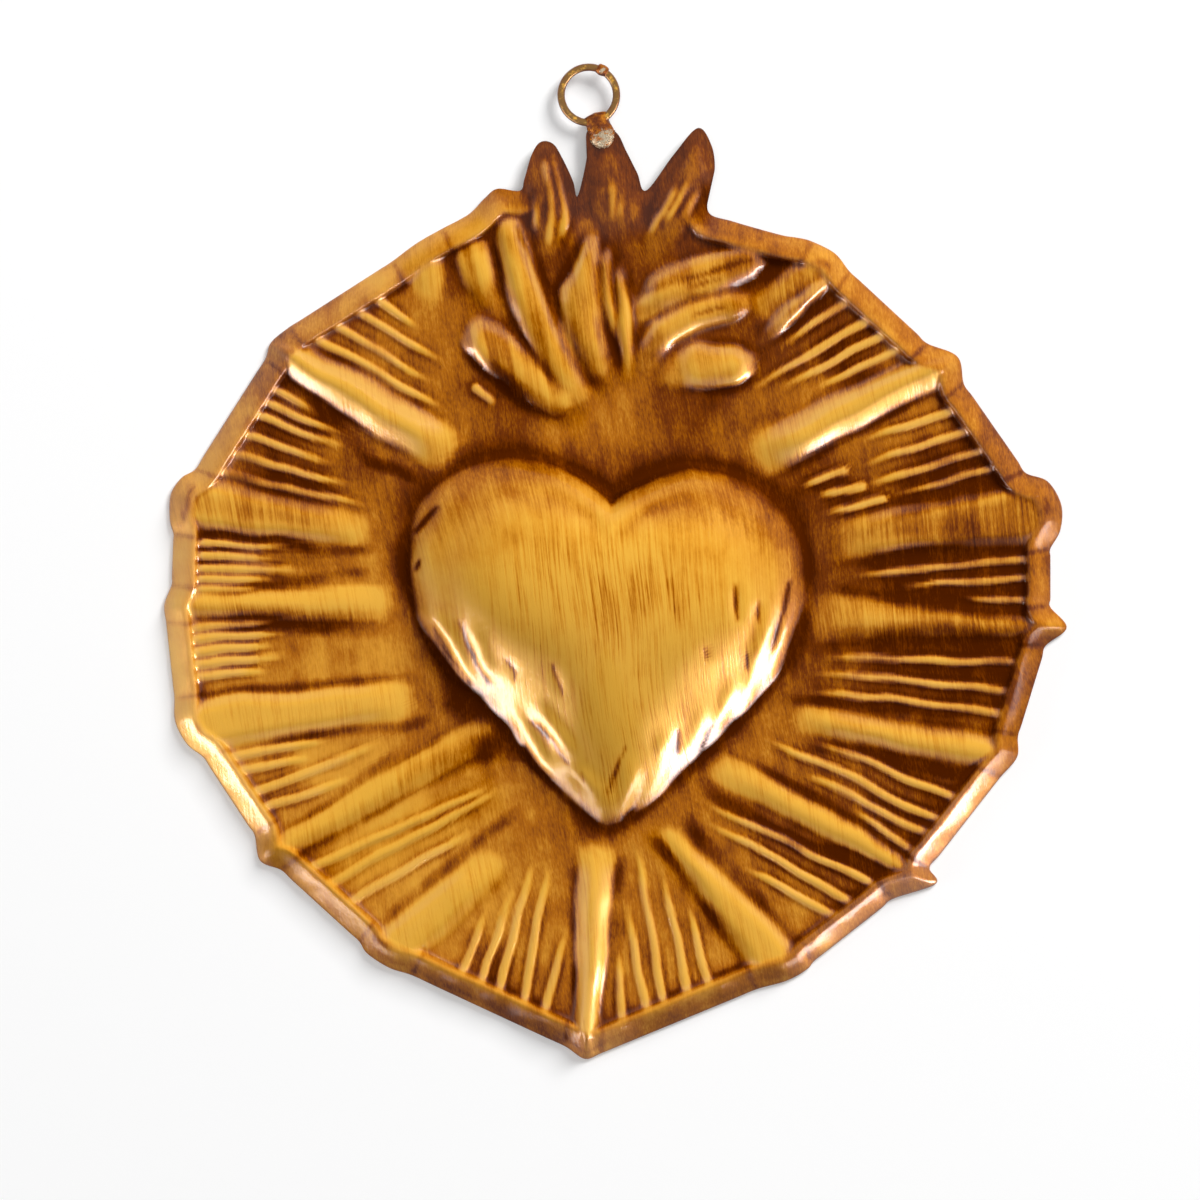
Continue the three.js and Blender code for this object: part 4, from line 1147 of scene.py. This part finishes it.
def new_material(name):
    """A material with an empty node tree."""
    material = bpy.data.materials.new(name)
    material.use_nodes = True
    material.node_tree.nodes.clear()
    return material, material.node_tree


def add_output(tree, shader):
    """Ends a material's tree in its shader."""
    add_node(tree, "ShaderNodeOutputMaterial", {"Surface": shader})


def grains(size_across, size_along, size_deep=None):
    """Scale of a pattern whose grains measure so many millimetres each way."""
    return tuple(1 / (size * MM) for size in (size_across, size_along, size_deep or size_along))


def glazed_gold(name, finish):
    """Gold paint under a brown glaze that was brushed on and wiped off, then lacquered.

    The eye sees dark brown in the recesses, vertical brush strokes, and bright gloss on the flanks.
    """
    material, tree = new_material(name)
    place = add_node(tree, "ShaderNodeTexCoord").outputs["Object"]
    bend = add_node(
        tree, "ShaderNodeTexNoise", {"Vector": place, "Scale": 1 / (25 * MM), "Detail": 1.0}
    ).outputs["Fac"]
    x, y, z = add_node(tree, "ShaderNodeSeparateXYZ", {"Vector": place}).outputs
    sway = add_node(tree, "ShaderNodeMath", {0: bend, 1: 4.0 * MM, 2: x}, operation="MULTIPLY_ADD").outputs[0]
    lean = add_node(tree, "ShaderNodeMath", {0: y, 1: 0.14, 2: sway}, operation="MULTIPLY_ADD").outputs[0]
    bent = add_node(tree, "ShaderNodeCombineXYZ", {"X": lean, "Y": y, "Z": z}).outputs[0]
    patterns = []
    for scale, detail in (
        (grains(0.22, 8, 6), 4.0), (grains(1.3, 8, 8), 2.0), (grains(3, 4, 3), 5.0), (grains(0.14, 0.6), 3.0)
    ):
        stretched = add_node(tree, "ShaderNodeMapping", {"Vector": bent, "Scale": scale}).outputs[0]
        pattern = add_node(
            tree, "ShaderNodeTexNoise",
            {"Vector": stretched, "Scale": 1.0, "Detail": detail, "Roughness": 0.6},
        )
        patterns.append(pattern.outputs["Fac"])
    stroke, sweep, cloud, grit = patterns
    wiped, gloss, brushed = (
        add_node(tree, "ShaderNodeAttribute", attribute_name=each, attribute_type="GEOMETRY").outputs["Fac"]
        for each in ("wiped", "gloss", "brushed")
    )
    # Strokes show on what stands proud, and the glaze's grain where it is thick
    thick = add_node(
        tree, "ShaderNodeMapRange",
        {"Value": wiped, "From Min": 0.4, "From Max": 0.75, "To Min": 1.0, "To Max": 0.35},
    ).outputs["Result"]
    # The wiped map is mostly the glaze, with painted highlight and painted shade added in places
    shade = wiped
    for pattern, amount, weight in (
        (stroke, 1.8, brushed), (grit, 0.55, thick), (sweep, 0.42, thick), (cloud, 0.55, 1.0)
    ):
        offset = add_node(tree, "ShaderNodeMath", {0: pattern, 1: 0.5}, operation="SUBTRACT").outputs[0]
        scaled = add_node(tree, "ShaderNodeMath", {0: offset, 1: amount}, operation="MULTIPLY").outputs[0]
        shade = add_node(
            tree, "ShaderNodeMath", {0: scaled, 1: weight, 2: shade}, operation="MULTIPLY_ADD"
        ).outputs[0]
    stops = (
        (0.0, finish.recess), (0.25, finish.shade), (0.5, finish.amber), (0.75, finish.gold),
        (1, finish.bright),
    )
    paint = add_node(tree, "ShaderNodeValToRGB", {"Fac": shade}, stops=stops).outputs["Color"]
    rough = add_node(
        tree, "ShaderNodeMapRange", {"Value": stroke, "To Min": 0.34, "To Max": 0.5}
    ).outputs["Result"]
    sheen = add_node(tree, "ShaderNodeMath", {0: gloss, 1: 0.3}, operation="MULTIPLY").outputs[0]
    metal = add_node(tree, "ShaderNodeMath", {0: gloss, 1: 0.35}, operation="MULTIPLY").outputs[0]
    uneven = add_node(
        tree, "ShaderNodeMath", {0: grit, 1: 0.5, 2: stroke}, operation="MULTIPLY_ADD"
    ).outputs[0]
    bump = add_node(
        tree, "ShaderNodeBump", {"Height": uneven, "Strength": 0.5, "Distance": 0.05 * MM}
    ).outputs["Normal"]
    shader = add_node(
        tree, "ShaderNodeBsdfPrincipled",
        {"Base Color": paint, "Metallic": metal, "Roughness": rough, "Normal": bump, "Coat Normal": bump,
         "Specular IOR Level": sheen, "Coat Weight": gloss, "Coat Roughness": 0.14, "Coat IOR": 1.6},
    )
    add_output(tree, shader.outputs[0])
    return material


def washed_tin(name, finish):
    """Back of the tinplate under a thin brown wash, with the grey metal showing through."""
    material, tree = new_material(name)
    place = add_node(tree, "ShaderNodeTexCoord").outputs["Object"]
    cloud = add_node(
        tree, "ShaderNodeTexNoise", {"Vector": place, "Scale": 1 / (6 * MM), "Detail": 5.0}
    ).outputs["Fac"]
    dark = [c * 0.55 for c in finish.back]
    pale = [c * 1.3 for c in finish.back]
    stops = ((0.3, dark), (0.55, finish.back), (0.8, pale))
    wash = add_node(tree, "ShaderNodeValToRGB", {"Fac": cloud}, stops=stops).outputs["Color"]
    rough = add_node(
        tree, "ShaderNodeMapRange", {"Value": cloud, "To Min": 0.35, "To Max": 0.6}
    ).outputs["Result"]
    shader = add_node(
        tree, "ShaderNodeBsdfPrincipled", {"Base Color": wash, "Metallic": 0.6, "Roughness": rough}
    )
    add_output(tree, shader.outputs[0])
    return material


def glazed_wire(name, finish):
    """The same paint and glaze on round wire in uneven patches of brown and brass, with painted light:
    lighter along its crest and darker on its sides.
    """
    material, tree = new_material(name)
    place = add_node(tree, "ShaderNodeTexCoord").outputs["Object"]
    patch = add_node(
        tree, "ShaderNodeTexNoise",
        {"Vector": place, "Scale": 1 / (0.9 * MM), "Detail": 4.0, "Roughness": 0.65},
    ).outputs["Fac"]
    # Painted light and shade: lighter along the wire's crest and darker on its sides
    height = add_node(tree, "ShaderNodeSeparateXYZ", {"Vector": place}).outputs["Z"]
    middle = RING_CENTRE.z
    crest = add_node(
        tree, "ShaderNodeMapRange",
        {"Value": height, "From Min": middle + 0.12 * MM, "From Max": middle + 0.35 * MM,
         "To Min": -0.24, "To Max": 0.07},
    ).outputs["Result"]
    patches_and_painted_light = add_node(tree, "ShaderNodeMath", {0: patch, 1: crest}, operation="ADD").outputs[0]
    stops = ((0.3, finish.shade), (0.45, finish.wire), (0.58, finish.wire), (0.7, finish.bright))
    paint = add_node(tree, "ShaderNodeValToRGB", {"Fac": patches_and_painted_light}, stops=stops).outputs["Color"]
    bump = add_node(
        tree, "ShaderNodeBump", {"Height": patch, "Strength": 0.3, "Distance": 0.05 * MM}
    ).outputs[0]
    shader = add_node(
        tree, "ShaderNodeBsdfPrincipled",
        {"Base Color": paint, "Metallic": 0.6, "Roughness": 0.3, "Normal": bump,
         "Coat Weight": 0.25, "Coat Roughness": 0.12},
    )
    add_output(tree, shader.outputs[0])
    return material


def bare_solder(name, finish, middle, reach):
    """Tin solder with a dull grainy skin. Brown glaze covers it beyond a reach from its middle."""
    material, tree = new_material(name)
    place = add_node(tree, "ShaderNodeTexCoord").outputs["Object"]
    grit = add_node(
        tree, "ShaderNodeTexNoise",
        {"Vector": place, "Scale": 1 / (0.8 * MM), "Detail": 6.0, "Roughness": 0.75},
    ).outputs["Fac"]
    patch = add_node(
        tree, "ShaderNodeMapping",
        {"Vector": place, "Location": middle, "Rotation": (0, 0, math.radians(30)),
         "Scale": (reach, reach / 1.7, 1)},
        vector_type="TEXTURE",
    ).outputs[0]
    far = add_node(tree, "ShaderNodeVectorMath", {0: patch}, operation="LENGTH").outputs["Value"]
    ragged = add_node(tree, "ShaderNodeMath", {0: grit, 1: 4.0, 2: far}, operation="MULTIPLY_ADD").outputs[0]
    cover = add_node(
        tree, "ShaderNodeMapRange", {"Value": ragged, "From Min": 2.75, "From Max": 2.9}
    ).outputs["Result"]
    pale = [min(1, c * 1.5) for c in finish.solder]
    metal_stops = ((0.3, finish.amber), (0.48, finish.solder), (0.75, pale))
    metal = add_node(tree, "ShaderNodeValToRGB", {"Fac": grit}, stops=metal_stops).outputs["Color"]
    paint_stops = ((0.35, finish.recess), (0.48, finish.shade), (0.58, finish.amber), (0.7, finish.gold))
    paint = add_node(tree, "ShaderNodeValToRGB", {"Fac": grit}, stops=paint_stops).outputs["Color"]
    skin = add_node(
        tree, "ShaderNodeMix", {"Factor": cover, "A": metal, "B": paint}, data_type="RGBA"
    )
    bump = add_node(
        tree, "ShaderNodeBump", {"Height": grit, "Strength": 0.6, "Distance": 0.12 * MM}
    ).outputs[0]
    shader = add_node(
        tree, "ShaderNodeBsdfPrincipled",
        {"Base Color": skin.outputs["Result"], "Metallic": 0.55, "Roughness": 0.45, "Normal": bump},
    )
    add_output(tree, shader.outputs[0])
    return material


def new_piece(name, mesh, materials):
    """A finished piece at the origin, with its place in its mesh."""
    for material in materials:
        mesh.materials.append(material)
    piece = bpy.data.objects.new(name, mesh)
    bpy.context.scene.collection.objects.link(piece)
    return piece


def dress(piece, node):
    """Ties a piece to the frame: it rides on the part's one body and stands for a node."""
    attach(piece, "root")
    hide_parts(node)


def baked_piece(name, tree, inputs, mesh=None):
    """A plain mesh from a node tree, whose inputs are set by identifier before the first evaluation."""
    source = bpy.data.objects.new(name + "_source", mesh or bpy.data.meshes.new(name + "_source"))
    bpy.context.scene.collection.objects.link(source)
    modifier = source.modifiers.new(name, "NODES")
    modifier.node_group = tree
    for item in tree.interface.items_tree:
        if item.in_out == "INPUT" and item.name in inputs:
            modifier[item.identifier] = inputs[item.name]
    evaluated = source.evaluated_get(bpy.context.evaluated_depsgraph_get())
    result = bpy.data.meshes.new_from_object(evaluated)
    result.name = name
    source.modifiers.remove(modifier)
    bpy.data.objects.remove(source)
    return new_piece(name, result, ())


def new_tree(name, sockets, takes_mesh):
    """A geometry tree with named inputs, and its group input and output."""
    tree = bpy.data.node_groups.new(name, "GeometryNodeTree")
    if takes_mesh:
        tree.interface.new_socket("Geometry", in_out="INPUT", socket_type="NodeSocketGeometry")
    for socket, kind in sockets.items():
        tree.interface.new_socket(socket, in_out="INPUT", socket_type=kind)
    tree.interface.new_socket("Geometry", in_out="OUTPUT", socket_type="NodeSocketGeometry")
    return tree, add_node(tree, "NodeGroupInput").outputs


def end_tree(tree, geometry, material):
    """Ends a tree in plain geometry with its material."""
    plain = add_node(tree, "GeometryNodeRealizeInstances", {"Geometry": geometry}).outputs[0]
    shaded = add_node(tree, "GeometryNodeSetShadeSmooth", {"Geometry": plain}).outputs[0]
    finished = add_node(
        tree, "GeometryNodeSetMaterial", {"Geometry": shaded, "Material": material}
    ).outputs[0]
    add_node(tree, "NodeGroupOutput", {"Geometry": finished})


class MILAGRO_OT_sheet(bpy.types.Operator):
    """Stamps the sheet with its heart, rays, flames and rim"""

    bl_idname = "milagro.sheet"
    bl_label = "Stamp the sheet"

    def execute(self, context):
        sheet = in_millimetres(context.scene.milagro.sheet)
        finish = context.scene.milagro.finish
        heart = Heart(sheet.heart_width, sheet.heart_length)
        edge, bearing, free = cut_outline()
        field = Field(MAP_CELL, MAP_MARGIN, sheet.wander)
        stamping = Stamping(field, heart, edge, free, sheet)
        mesh = self.skin(stamping, edge, bearing, free)
        materials = (glazed_gold("lacquered_glaze_on_gold", finish), washed_tin("washed_tin_back", finish))
        piece = new_piece("stamped_sheet", mesh, materials)
        dress(piece, "embossed_sheet")
        return {"FINISHED"}

    def skin(self, stamping, edge, bearing, free):
        """Face, cut edge and back as one closed mesh, with the finish as attributes of its points."""
        field, heart, sheet = stamping.field, stamping.heart, stamping.sheet
        height, wiped = stamping.height, stamping.wiped
        lip = sheet.thickness + sheet.ground * free
        rim_width = sheet.rim_slope + sheet.rim_wall
        relief = np.abs(height - field.blur(height, 0.4)) + 0.12 * np.abs(wiped - field.blur(wiped, 0.4))
        interest = 0.5 + np.clip(field.blur(relief, 0.25) / relief.mean(), 0, 4)
        face, back = (
            sheet_rings(field, interest, heart, edge, bearing, rim_width, rows)
            for rows in (FACE_ROWS, BACK_ROWS)
        )
        under = field.blur(lowest_near(height, 5), 0.25) - sheet.thickness
        points, faces, front_edge = sheet_skin(field, height, face, heart.centre, lip, 0)
        more, back_faces, back_edge = sheet_skin(
            field, under, back, heart.centre, lip - sheet.thickness, len(points)
        )
        points = np.array(points + more)
        band = np.column_stack((front_edge, back_edge, np.roll(back_edge, -1), np.roll(front_edge, -1)))
        face_count = len(faces)
        faces = faces + band.tolist() + [corners[::-1] for corners in back_faces]
        placed = np.column_stack((points[:, :2] * MM + SHEET_MIDDLE, np.clip(points[:, 2], 0, None) * MM))
        mesh = bpy.data.meshes.new("embossed_sheet_looks")
        mesh.from_pydata(placed.tolist(), [], faces)
        maps = {"wiped": wiped, "gloss": stamping.gloss(), "brushed": stamping.brushed()}
        for name, values in maps.items():
            finish_map = mesh.attributes.new(name, "FLOAT", "POINT")
            finish_map.data.foreach_set("value", field.sample(values, points[:, :2]).astype(np.float32))
        indices = np.zeros(len(faces), np.int32)
        indices[face_count + LINES:] = 1
        mesh.polygons.foreach_set("material_index", indices)
        mesh.shade_smooth()
        mesh.set_sharp_from_angle(angle=math.radians(75))
        if mesh.validate():
            raise RuntimeError("the stamped sheet has a bad face")
        return mesh


def ring_tree(material):
    """Bends round wire into a ring with a seam, and makes its surface a little uneven."""
    tree, given = new_tree(
        "bent_wire_ring",
        {"Radius": "NodeSocketFloat", "Wire": "NodeSocketFloat", "Seam": "NodeSocketFloat",
         "Sweep": "NodeSocketFloat", "Place": "NodeSocketVector", "Uneven": "NodeSocketFloat"},
        False,
    )
    arc = add_node(
        tree, "GeometryNodeCurveArc",
        {"Resolution": 160, "Radius": given["Radius"], "Start Angle": given["Seam"],
         "Sweep Angle": given["Sweep"]},
    ).outputs["Curve"]
    section = add_node(
        tree, "GeometryNodeCurvePrimitiveCircle", {"Resolution": 20, "Radius": given["Wire"]}
    ).outputs["Curve"]
    wire = add_node(
        tree, "GeometryNodeCurveToMesh", {"Curve": arc, "Profile Curve": section, "Fill Caps": True}
    ).outputs["Mesh"]
    wave = add_node(tree, "ShaderNodeTexNoise", {"Scale": 1 / (1.1 * MM), "Detail": 2.0}).outputs["Fac"]
    swing = add_node(tree, "ShaderNodeMath", {0: wave, 1: 0.5}, operation="SUBTRACT").outputs[0]
    push = add_node(
        tree, "ShaderNodeMath", {0: swing, 1: given["Uneven"]}, operation="MULTIPLY"
    ).outputs[0]
    out = add_node(tree, "GeometryNodeInputNormal").outputs[0]
    offset = add_node(tree, "ShaderNodeVectorMath", {0: out, "Scale": push}, operation="SCALE").outputs[0]
    uneven = add_node(tree, "GeometryNodeSetPosition", {"Geometry": wire, "Offset": offset}).outputs[0]
    moved = add_node(
        tree, "GeometryNodeTransform", {"Geometry": uneven, "Translation": given["Place"]}
    ).outputs[0]
    end_tree(tree, moved, material)
    return tree


class MILAGRO_OT_ring(bpy.types.Operator):
    """Bends the hanging ring from round wire"""

    bl_idname = "milagro.ring"
    bl_label = "Bend the ring"

    def execute(self, context):
        ring = context.scene.milagro.ring
        material = glazed_wire("glazed_wire_paint", context.scene.milagro.finish)
        outside = (RING_HIGH.x - RING_LOW.x) / 2
        radius = outside - ring.wire / 2
        seam = (SEAM_LOW + SEAM_HIGH) / 2 - RING_CENTRE
        # The two ends stay a little apart under the bead on the seam
        gap = 0.2 * MM / radius
        piece = baked_piece(
            "wire_ring", ring_tree(material),
            {"Radius": radius, "Wire": ring.wire / 2 - ring.uneven / 2,
             "Seam": math.atan2(seam.y, seam.x) + gap / 2, "Sweep": 2 * math.pi - gap,
             "Place": RING_CENTRE, "Uneven": ring.uneven},
        )
        dress(piece, "hanging_ring")
        return {"FINISHED"}


def lump(profile, rows, turns, seed, rough):
    """Points and faces of an uneven lump round the Y axis, from a profile of places along it and radii."""
    rng = np.random.default_rng(seed)
    along, radii = np.array(profile, float).T
    t = np.linspace(0, len(along) - 1, rows)
    y = np.interp(t, np.arange(len(along)), along)
    r = np.interp(t, np.arange(len(along)), radii)
    angle = np.linspace(0, 2 * np.pi, turns, endpoint=False)
    wobble = rng.standard_normal((rows, turns))
    wobble = (wobble + np.roll(wobble, 1, 1) + np.roll(wobble, -1, 1)) / 3
    wobble[1:-1] = (wobble[1:-1] + wobble[:-2] + wobble[2:]) / 3
    radius = r[:, None] * (1 + rough * wobble)
    points = np.stack((radius * np.cos(angle), np.repeat(y[:, None], turns, 1), radius * np.sin(angle)), -1)
    points = points[1:-1].reshape(-1, 3)
    low, high = len(points), len(points) + 1
    points = np.vstack((points, (0, y[0], 0), (0, y[-1], 0)))
    faces = []
    for k in range(rows - 3):
        here = k * turns + np.arange(turns)
        faces += np.column_stack((here, here + turns, np.roll(here, -1) + turns, np.roll(here, -1))).tolist()
    first = np.arange(turns)
    last = (rows - 3) * turns + first
    faces += [(low, a, b) for a, b in zip(first, np.roll(first, -1))]
    faces += [(high, b, a) for a, b in zip(last, np.roll(last, -1))]
    return points, faces


def lump_mesh(name, points, faces, turn, middle):
    """A mesh of a lump, turned about the Z axis and set down at its middle."""
    c, s = math.cos(turn), math.sin(turn)
    x, y, z = points.T
    placed = np.column_stack((x * c - y * s, x * s + y * c, z)) * MM + middle
    mesh = bpy.data.meshes.new(name)
    mesh.from_pydata(placed.tolist(), [], faces)
    return mesh


def grain_tree(material):
    """Sets grains of uneven size on the part of a lump that lies below a place along the sheet."""
    tree, given = new_tree(
        "solder_grains",
        {"Grain": "NodeSocketFloat", "Density": "NodeSocketFloat", "Top": "NodeSocketFloat"},
        True,
    )
    where = add_node(tree, "GeometryNodeInputPosition").outputs[0]
    low = add_node(tree, "ShaderNodeSeparateXYZ", {"Vector": where}).outputs["Y"]
    below = add_node(
        tree, "FunctionNodeCompare", {"A": low, "B": given["Top"]},
        data_type="FLOAT", operation="LESS_THAN",
    ).outputs[0]
    spots = add_node(
        tree, "GeometryNodeDistributePointsOnFaces",
        {"Mesh": given["Geometry"], "Selection": below, "Density": given["Density"], "Seed": 5},
    ).outputs["Points"]
    bead = add_node(
        tree, "GeometryNodeMeshIcoSphere", {"Radius": given["Grain"], "Subdivisions": 2}
    ).outputs[0]
    size = add_node(
        tree, "FunctionNodeRandomValue", {2: 0.35, 3: 1.0, "Seed": 8}, data_type="FLOAT"
    ).outputs[1]
    set_beads = add_node(
        tree, "GeometryNodeInstanceOnPoints", {"Points": spots, "Instance": bead, "Scale": size}
    ).outputs[0]
    joined = add_node(tree, "GeometryNodeJoinGeometry")
    for part in (set_beads, given["Geometry"]):
        tree.links.new(part, joined.inputs[0])
    end_tree(tree, joined.outputs[0], material)
    return tree


class MILAGRO_OT_solder(bpy.types.Operator):
    """Runs the solder that joins the ring to the flame and closes its seam"""

    bl_idname = "milagro.solder"
    bl_label = "Run the solder"

    def execute(self, context):
        finish = context.scene.milagro.finish
        ring = context.scene.milagro.ring
        flame_tip = on_sheet(FLAME_TIP) * MM + SHEET_MIDDLE
        bare_middle = (*(flame_tip + np.array(BARE_MIDDLE) * MM), 0)
        bare = bare_solder("grainy_tin_solder", finish, bare_middle, BARE_REACH * MM)
        seam_middle = (SEAM_LOW + SEAM_HIGH) / 2
        seam_metal = bare_solder("worn_seam_solder", finish, seam_middle, SEAM_BARE_REACH * MM)
        self.tip(flame_tip, ring, bare)
        self.seam(seam_metal)
        return {"FINISHED"}

    def tip(self, flame_tip, ring, material):
        """Lump over the flame's tip and the bottom of the ring, with grains below the ring."""
        toward = np.array(RING_CENTRE)[:2] - flame_tip
        turn = math.atan2(toward[1], toward[0]) - math.pi / 2
        # It runs down the flame, and up over the wire to a little past the ring's inside
        run = 2.2
        ring_inside = 2.4
        past = 0.35
        over = np.hypot(*toward) / MM - ring_inside + past
        profile = (
            (-run, 0), (-run * 0.9, 0.5), (-run * 0.55, 0.85), (-run * 0.1, 0.8), (0.3, 0.74), (over, 0.72),
            (over + 0.2, 0),
        )
        points, faces = lump(profile, rows=18, turns=28, seed=41, rough=0.16)
        middle = (*flame_tip, (TIP_LOW.z + TIP_HIGH.z) / 2)
        mesh = lump_mesh("tip_solder_lump", points * (1.55, 1, 0.95), faces, turn, middle)
        piece = baked_piece(
            "tip_solder_lump", grain_tree(material),
            {"Grain": ring.grain, "Density": 2.2e7, "Top": flame_tip[1] - 0.2 * MM}, mesh,
        )
        dress(piece, "tip_solder")

    def seam(self, material):
        """Bead over the butt joint of the ring."""
        middle = np.array((SEAM_LOW + SEAM_HIGH) / 2)
        out = middle[:2] - np.array(RING_CENTRE)[:2]
        turn = math.atan2(out[1], out[0])
        girth = (SEAM_HIGH.z - SEAM_LOW.z) / 2 / MM
        profile = ((-0.72, 0), (-0.5, girth * 0.82), (0, girth * 0.95), (0.5, girth * 0.82), (0.72, 0))
        points, faces = lump(profile, rows=14, turns=22, seed=43, rough=0.1)
        mesh = lump_mesh("seam_solder_bead", points, faces, turn, middle)
        mesh.shade_smooth()
        piece = new_piece("seam_solder_bead", mesh, (material,))
        dress(piece, "seam_solder")


def softbox(name, place, size, brightness, mirrored):
    """A soft lamp that looks at the origin, and is either only mirrored or only lights."""
    lamp = bpy.data.lights.new(name, "AREA")
    lamp.shape = "RECTANGLE"
    lamp.size, lamp.size_y = size
    lamp.energy = brightness * math.pi * size[0] * size[1]
    holder = bpy.data.objects.new(name, lamp)
    bpy.context.scene.collection.objects.link(holder)
    holder.location = place
    holder.rotation_euler = holder.location.to_track_quat("Z", "Y").to_euler()
    holder.visible_diffuse = not mirrored
    holder.visible_glossy = mirrored


def seen_rays(tree):
    """Whether the eye sees this, straight or in a reflection."""
    path = add_node(tree, "ShaderNodeLightPath").outputs
    seen = path["Is Camera Ray"]
    for ray in ("Is Glossy Ray", "Is Transmission Ray"):
        seen = add_node(tree, "ShaderNodeMath", {0: seen, 1: path[ray]}, operation="MAXIMUM").outputs[0]
    return seen


def white_paper(name):
    """Matt white paper that stays white to the eye and in reflections, and keeps the shadow."""
    material, tree = new_material(name)
    share = add_node(
        tree, "ShaderNodeMath", {0: seen_rays(tree), 1: PAPER_GLOW}, operation="MULTIPLY"
    ).outputs[0]
    matt = add_node(tree, "ShaderNodeBsdfDiffuse", {"Color": (*linear("#FAFAFA"), 1)}).outputs[0]
    glow = add_node(tree, "ShaderNodeEmission", {"Color": (1, 1, 1, 1), "Strength": 1.0}).outputs[0]
    paper = add_node(tree, "ShaderNodeMixShader", {0: share, 1: matt, 2: glow}).outputs[0]
    add_output(tree, paper)
    return material


class MILAGRO_OT_stage(bpy.types.Operator):
    """Sets the paper floor, the soft lamps and the camera straight above"""

    bl_idname = "milagro.stage"
    bl_label = "Set the stage"

    def execute(self, context):
        scene = context.scene
        scene.view_settings.view_transform = "Standard"
        self.floor()
        self.lamps(scene)
        self.camera(scene)
        return {"FINISHED"}

    def floor(self):
        """White paper just below the cut edge, so that it keeps the shadow."""
        half = 3.0
        drop = -0.05 * MM
        mesh = bpy.data.meshes.new("paper_floor")
        corners = [(-half, -half, drop), (half, -half, drop), (half, half, drop), (-half, half, drop)]
        mesh.from_pydata(corners, [], [(0, 1, 2, 3)])
        new_piece("paper_floor", mesh, (white_paper("white_paper"),))

    def lamps(self, scene):
        """Soft lamps, and a world that is white to the eye and dim as a light."""
        for lamp in LAMPS:
            softbox(*lamp)
        world = bpy.data.worlds.new("plain_studio")
        scene.world = world
        world.use_nodes = True
        tree = world.node_tree
        tree.nodes.clear()
        dim = add_node(
            tree, "ShaderNodeBackground", {"Color": (0.5, 0.5, 0.5, 1), "Strength": 0.08}
        ).outputs[0]
        white = add_node(
            tree, "ShaderNodeBackground", {"Color": (1, 1, 1, 1), "Strength": 1.0}
        ).outputs[0]
        sky = add_node(tree, "ShaderNodeMixShader", {0: seen_rays(tree), 1: dim, 2: white}).outputs[0]
        add_node(tree, "ShaderNodeOutputWorld", {"Surface": sky})

    def camera(self, scene):
        """A camera far enough above to see the sheet nearly without perspective."""
        view = bpy.data.cameras.new("front_camera")
        holder = bpy.data.objects.new("front_camera", view)
        scene.collection.objects.link(holder)
        # The photograph's frame is 120 mm wide, with its middle a little off the sheet's
        frame_width = 120 * MM
        middle = np.array((-1.55, -0.675)) * MM + SHEET_MIDDLE
        rise = 0.9
        holder.location = (*middle, rise)
        view.sensor_width = 36
        view.lens = view.sensor_width * rise / frame_width
        view.clip_end = 20
        scene.camera = holder


class MILAGRO_PT_panel(bpy.types.Panel):
    """Lists the steps that dress the ornament"""

    bl_label = "Sacred heart milagro"
    bl_idname = "MILAGRO_PT_panel"
    bl_space_type = "VIEW_3D"
    bl_region_type = "UI"
    bl_category = "Milagro"

    def draw(self, context):
        for step in STEPS:
            self.layout.operator(step.bl_idname)
        for group in ("sheet", "finish", "ring"):
            values = getattr(context.scene.milagro, group)
            for name in values.__annotations__:
                self.layout.prop(values, name)


STEPS = (MILAGRO_OT_stage, MILAGRO_OT_sheet, MILAGRO_OT_ring, MILAGRO_OT_solder)
CLASSES = (MilagroSheet, MilagroFinish, MilagroRing, MilagroProperties, *STEPS, MILAGRO_PT_panel)


def register():
    """Adds the classes and the scene's values."""
    for each in CLASSES:
        bpy.utils.register_class(each)
    bpy.types.Scene.milagro = bpy.props.PointerProperty(type=MilagroProperties)


def unregister():
    """Takes them away again."""
    del bpy.types.Scene.milagro
    for each in reversed(CLASSES):
        bpy.utils.unregister_class(each)


def main():
    """Runs the steps in order."""
    register()
    for step in STEPS:
        group, name = step.bl_idname.split(".")
        getattr(getattr(bpy.ops, group), name)()


if __name__ == "__main__":
    main()
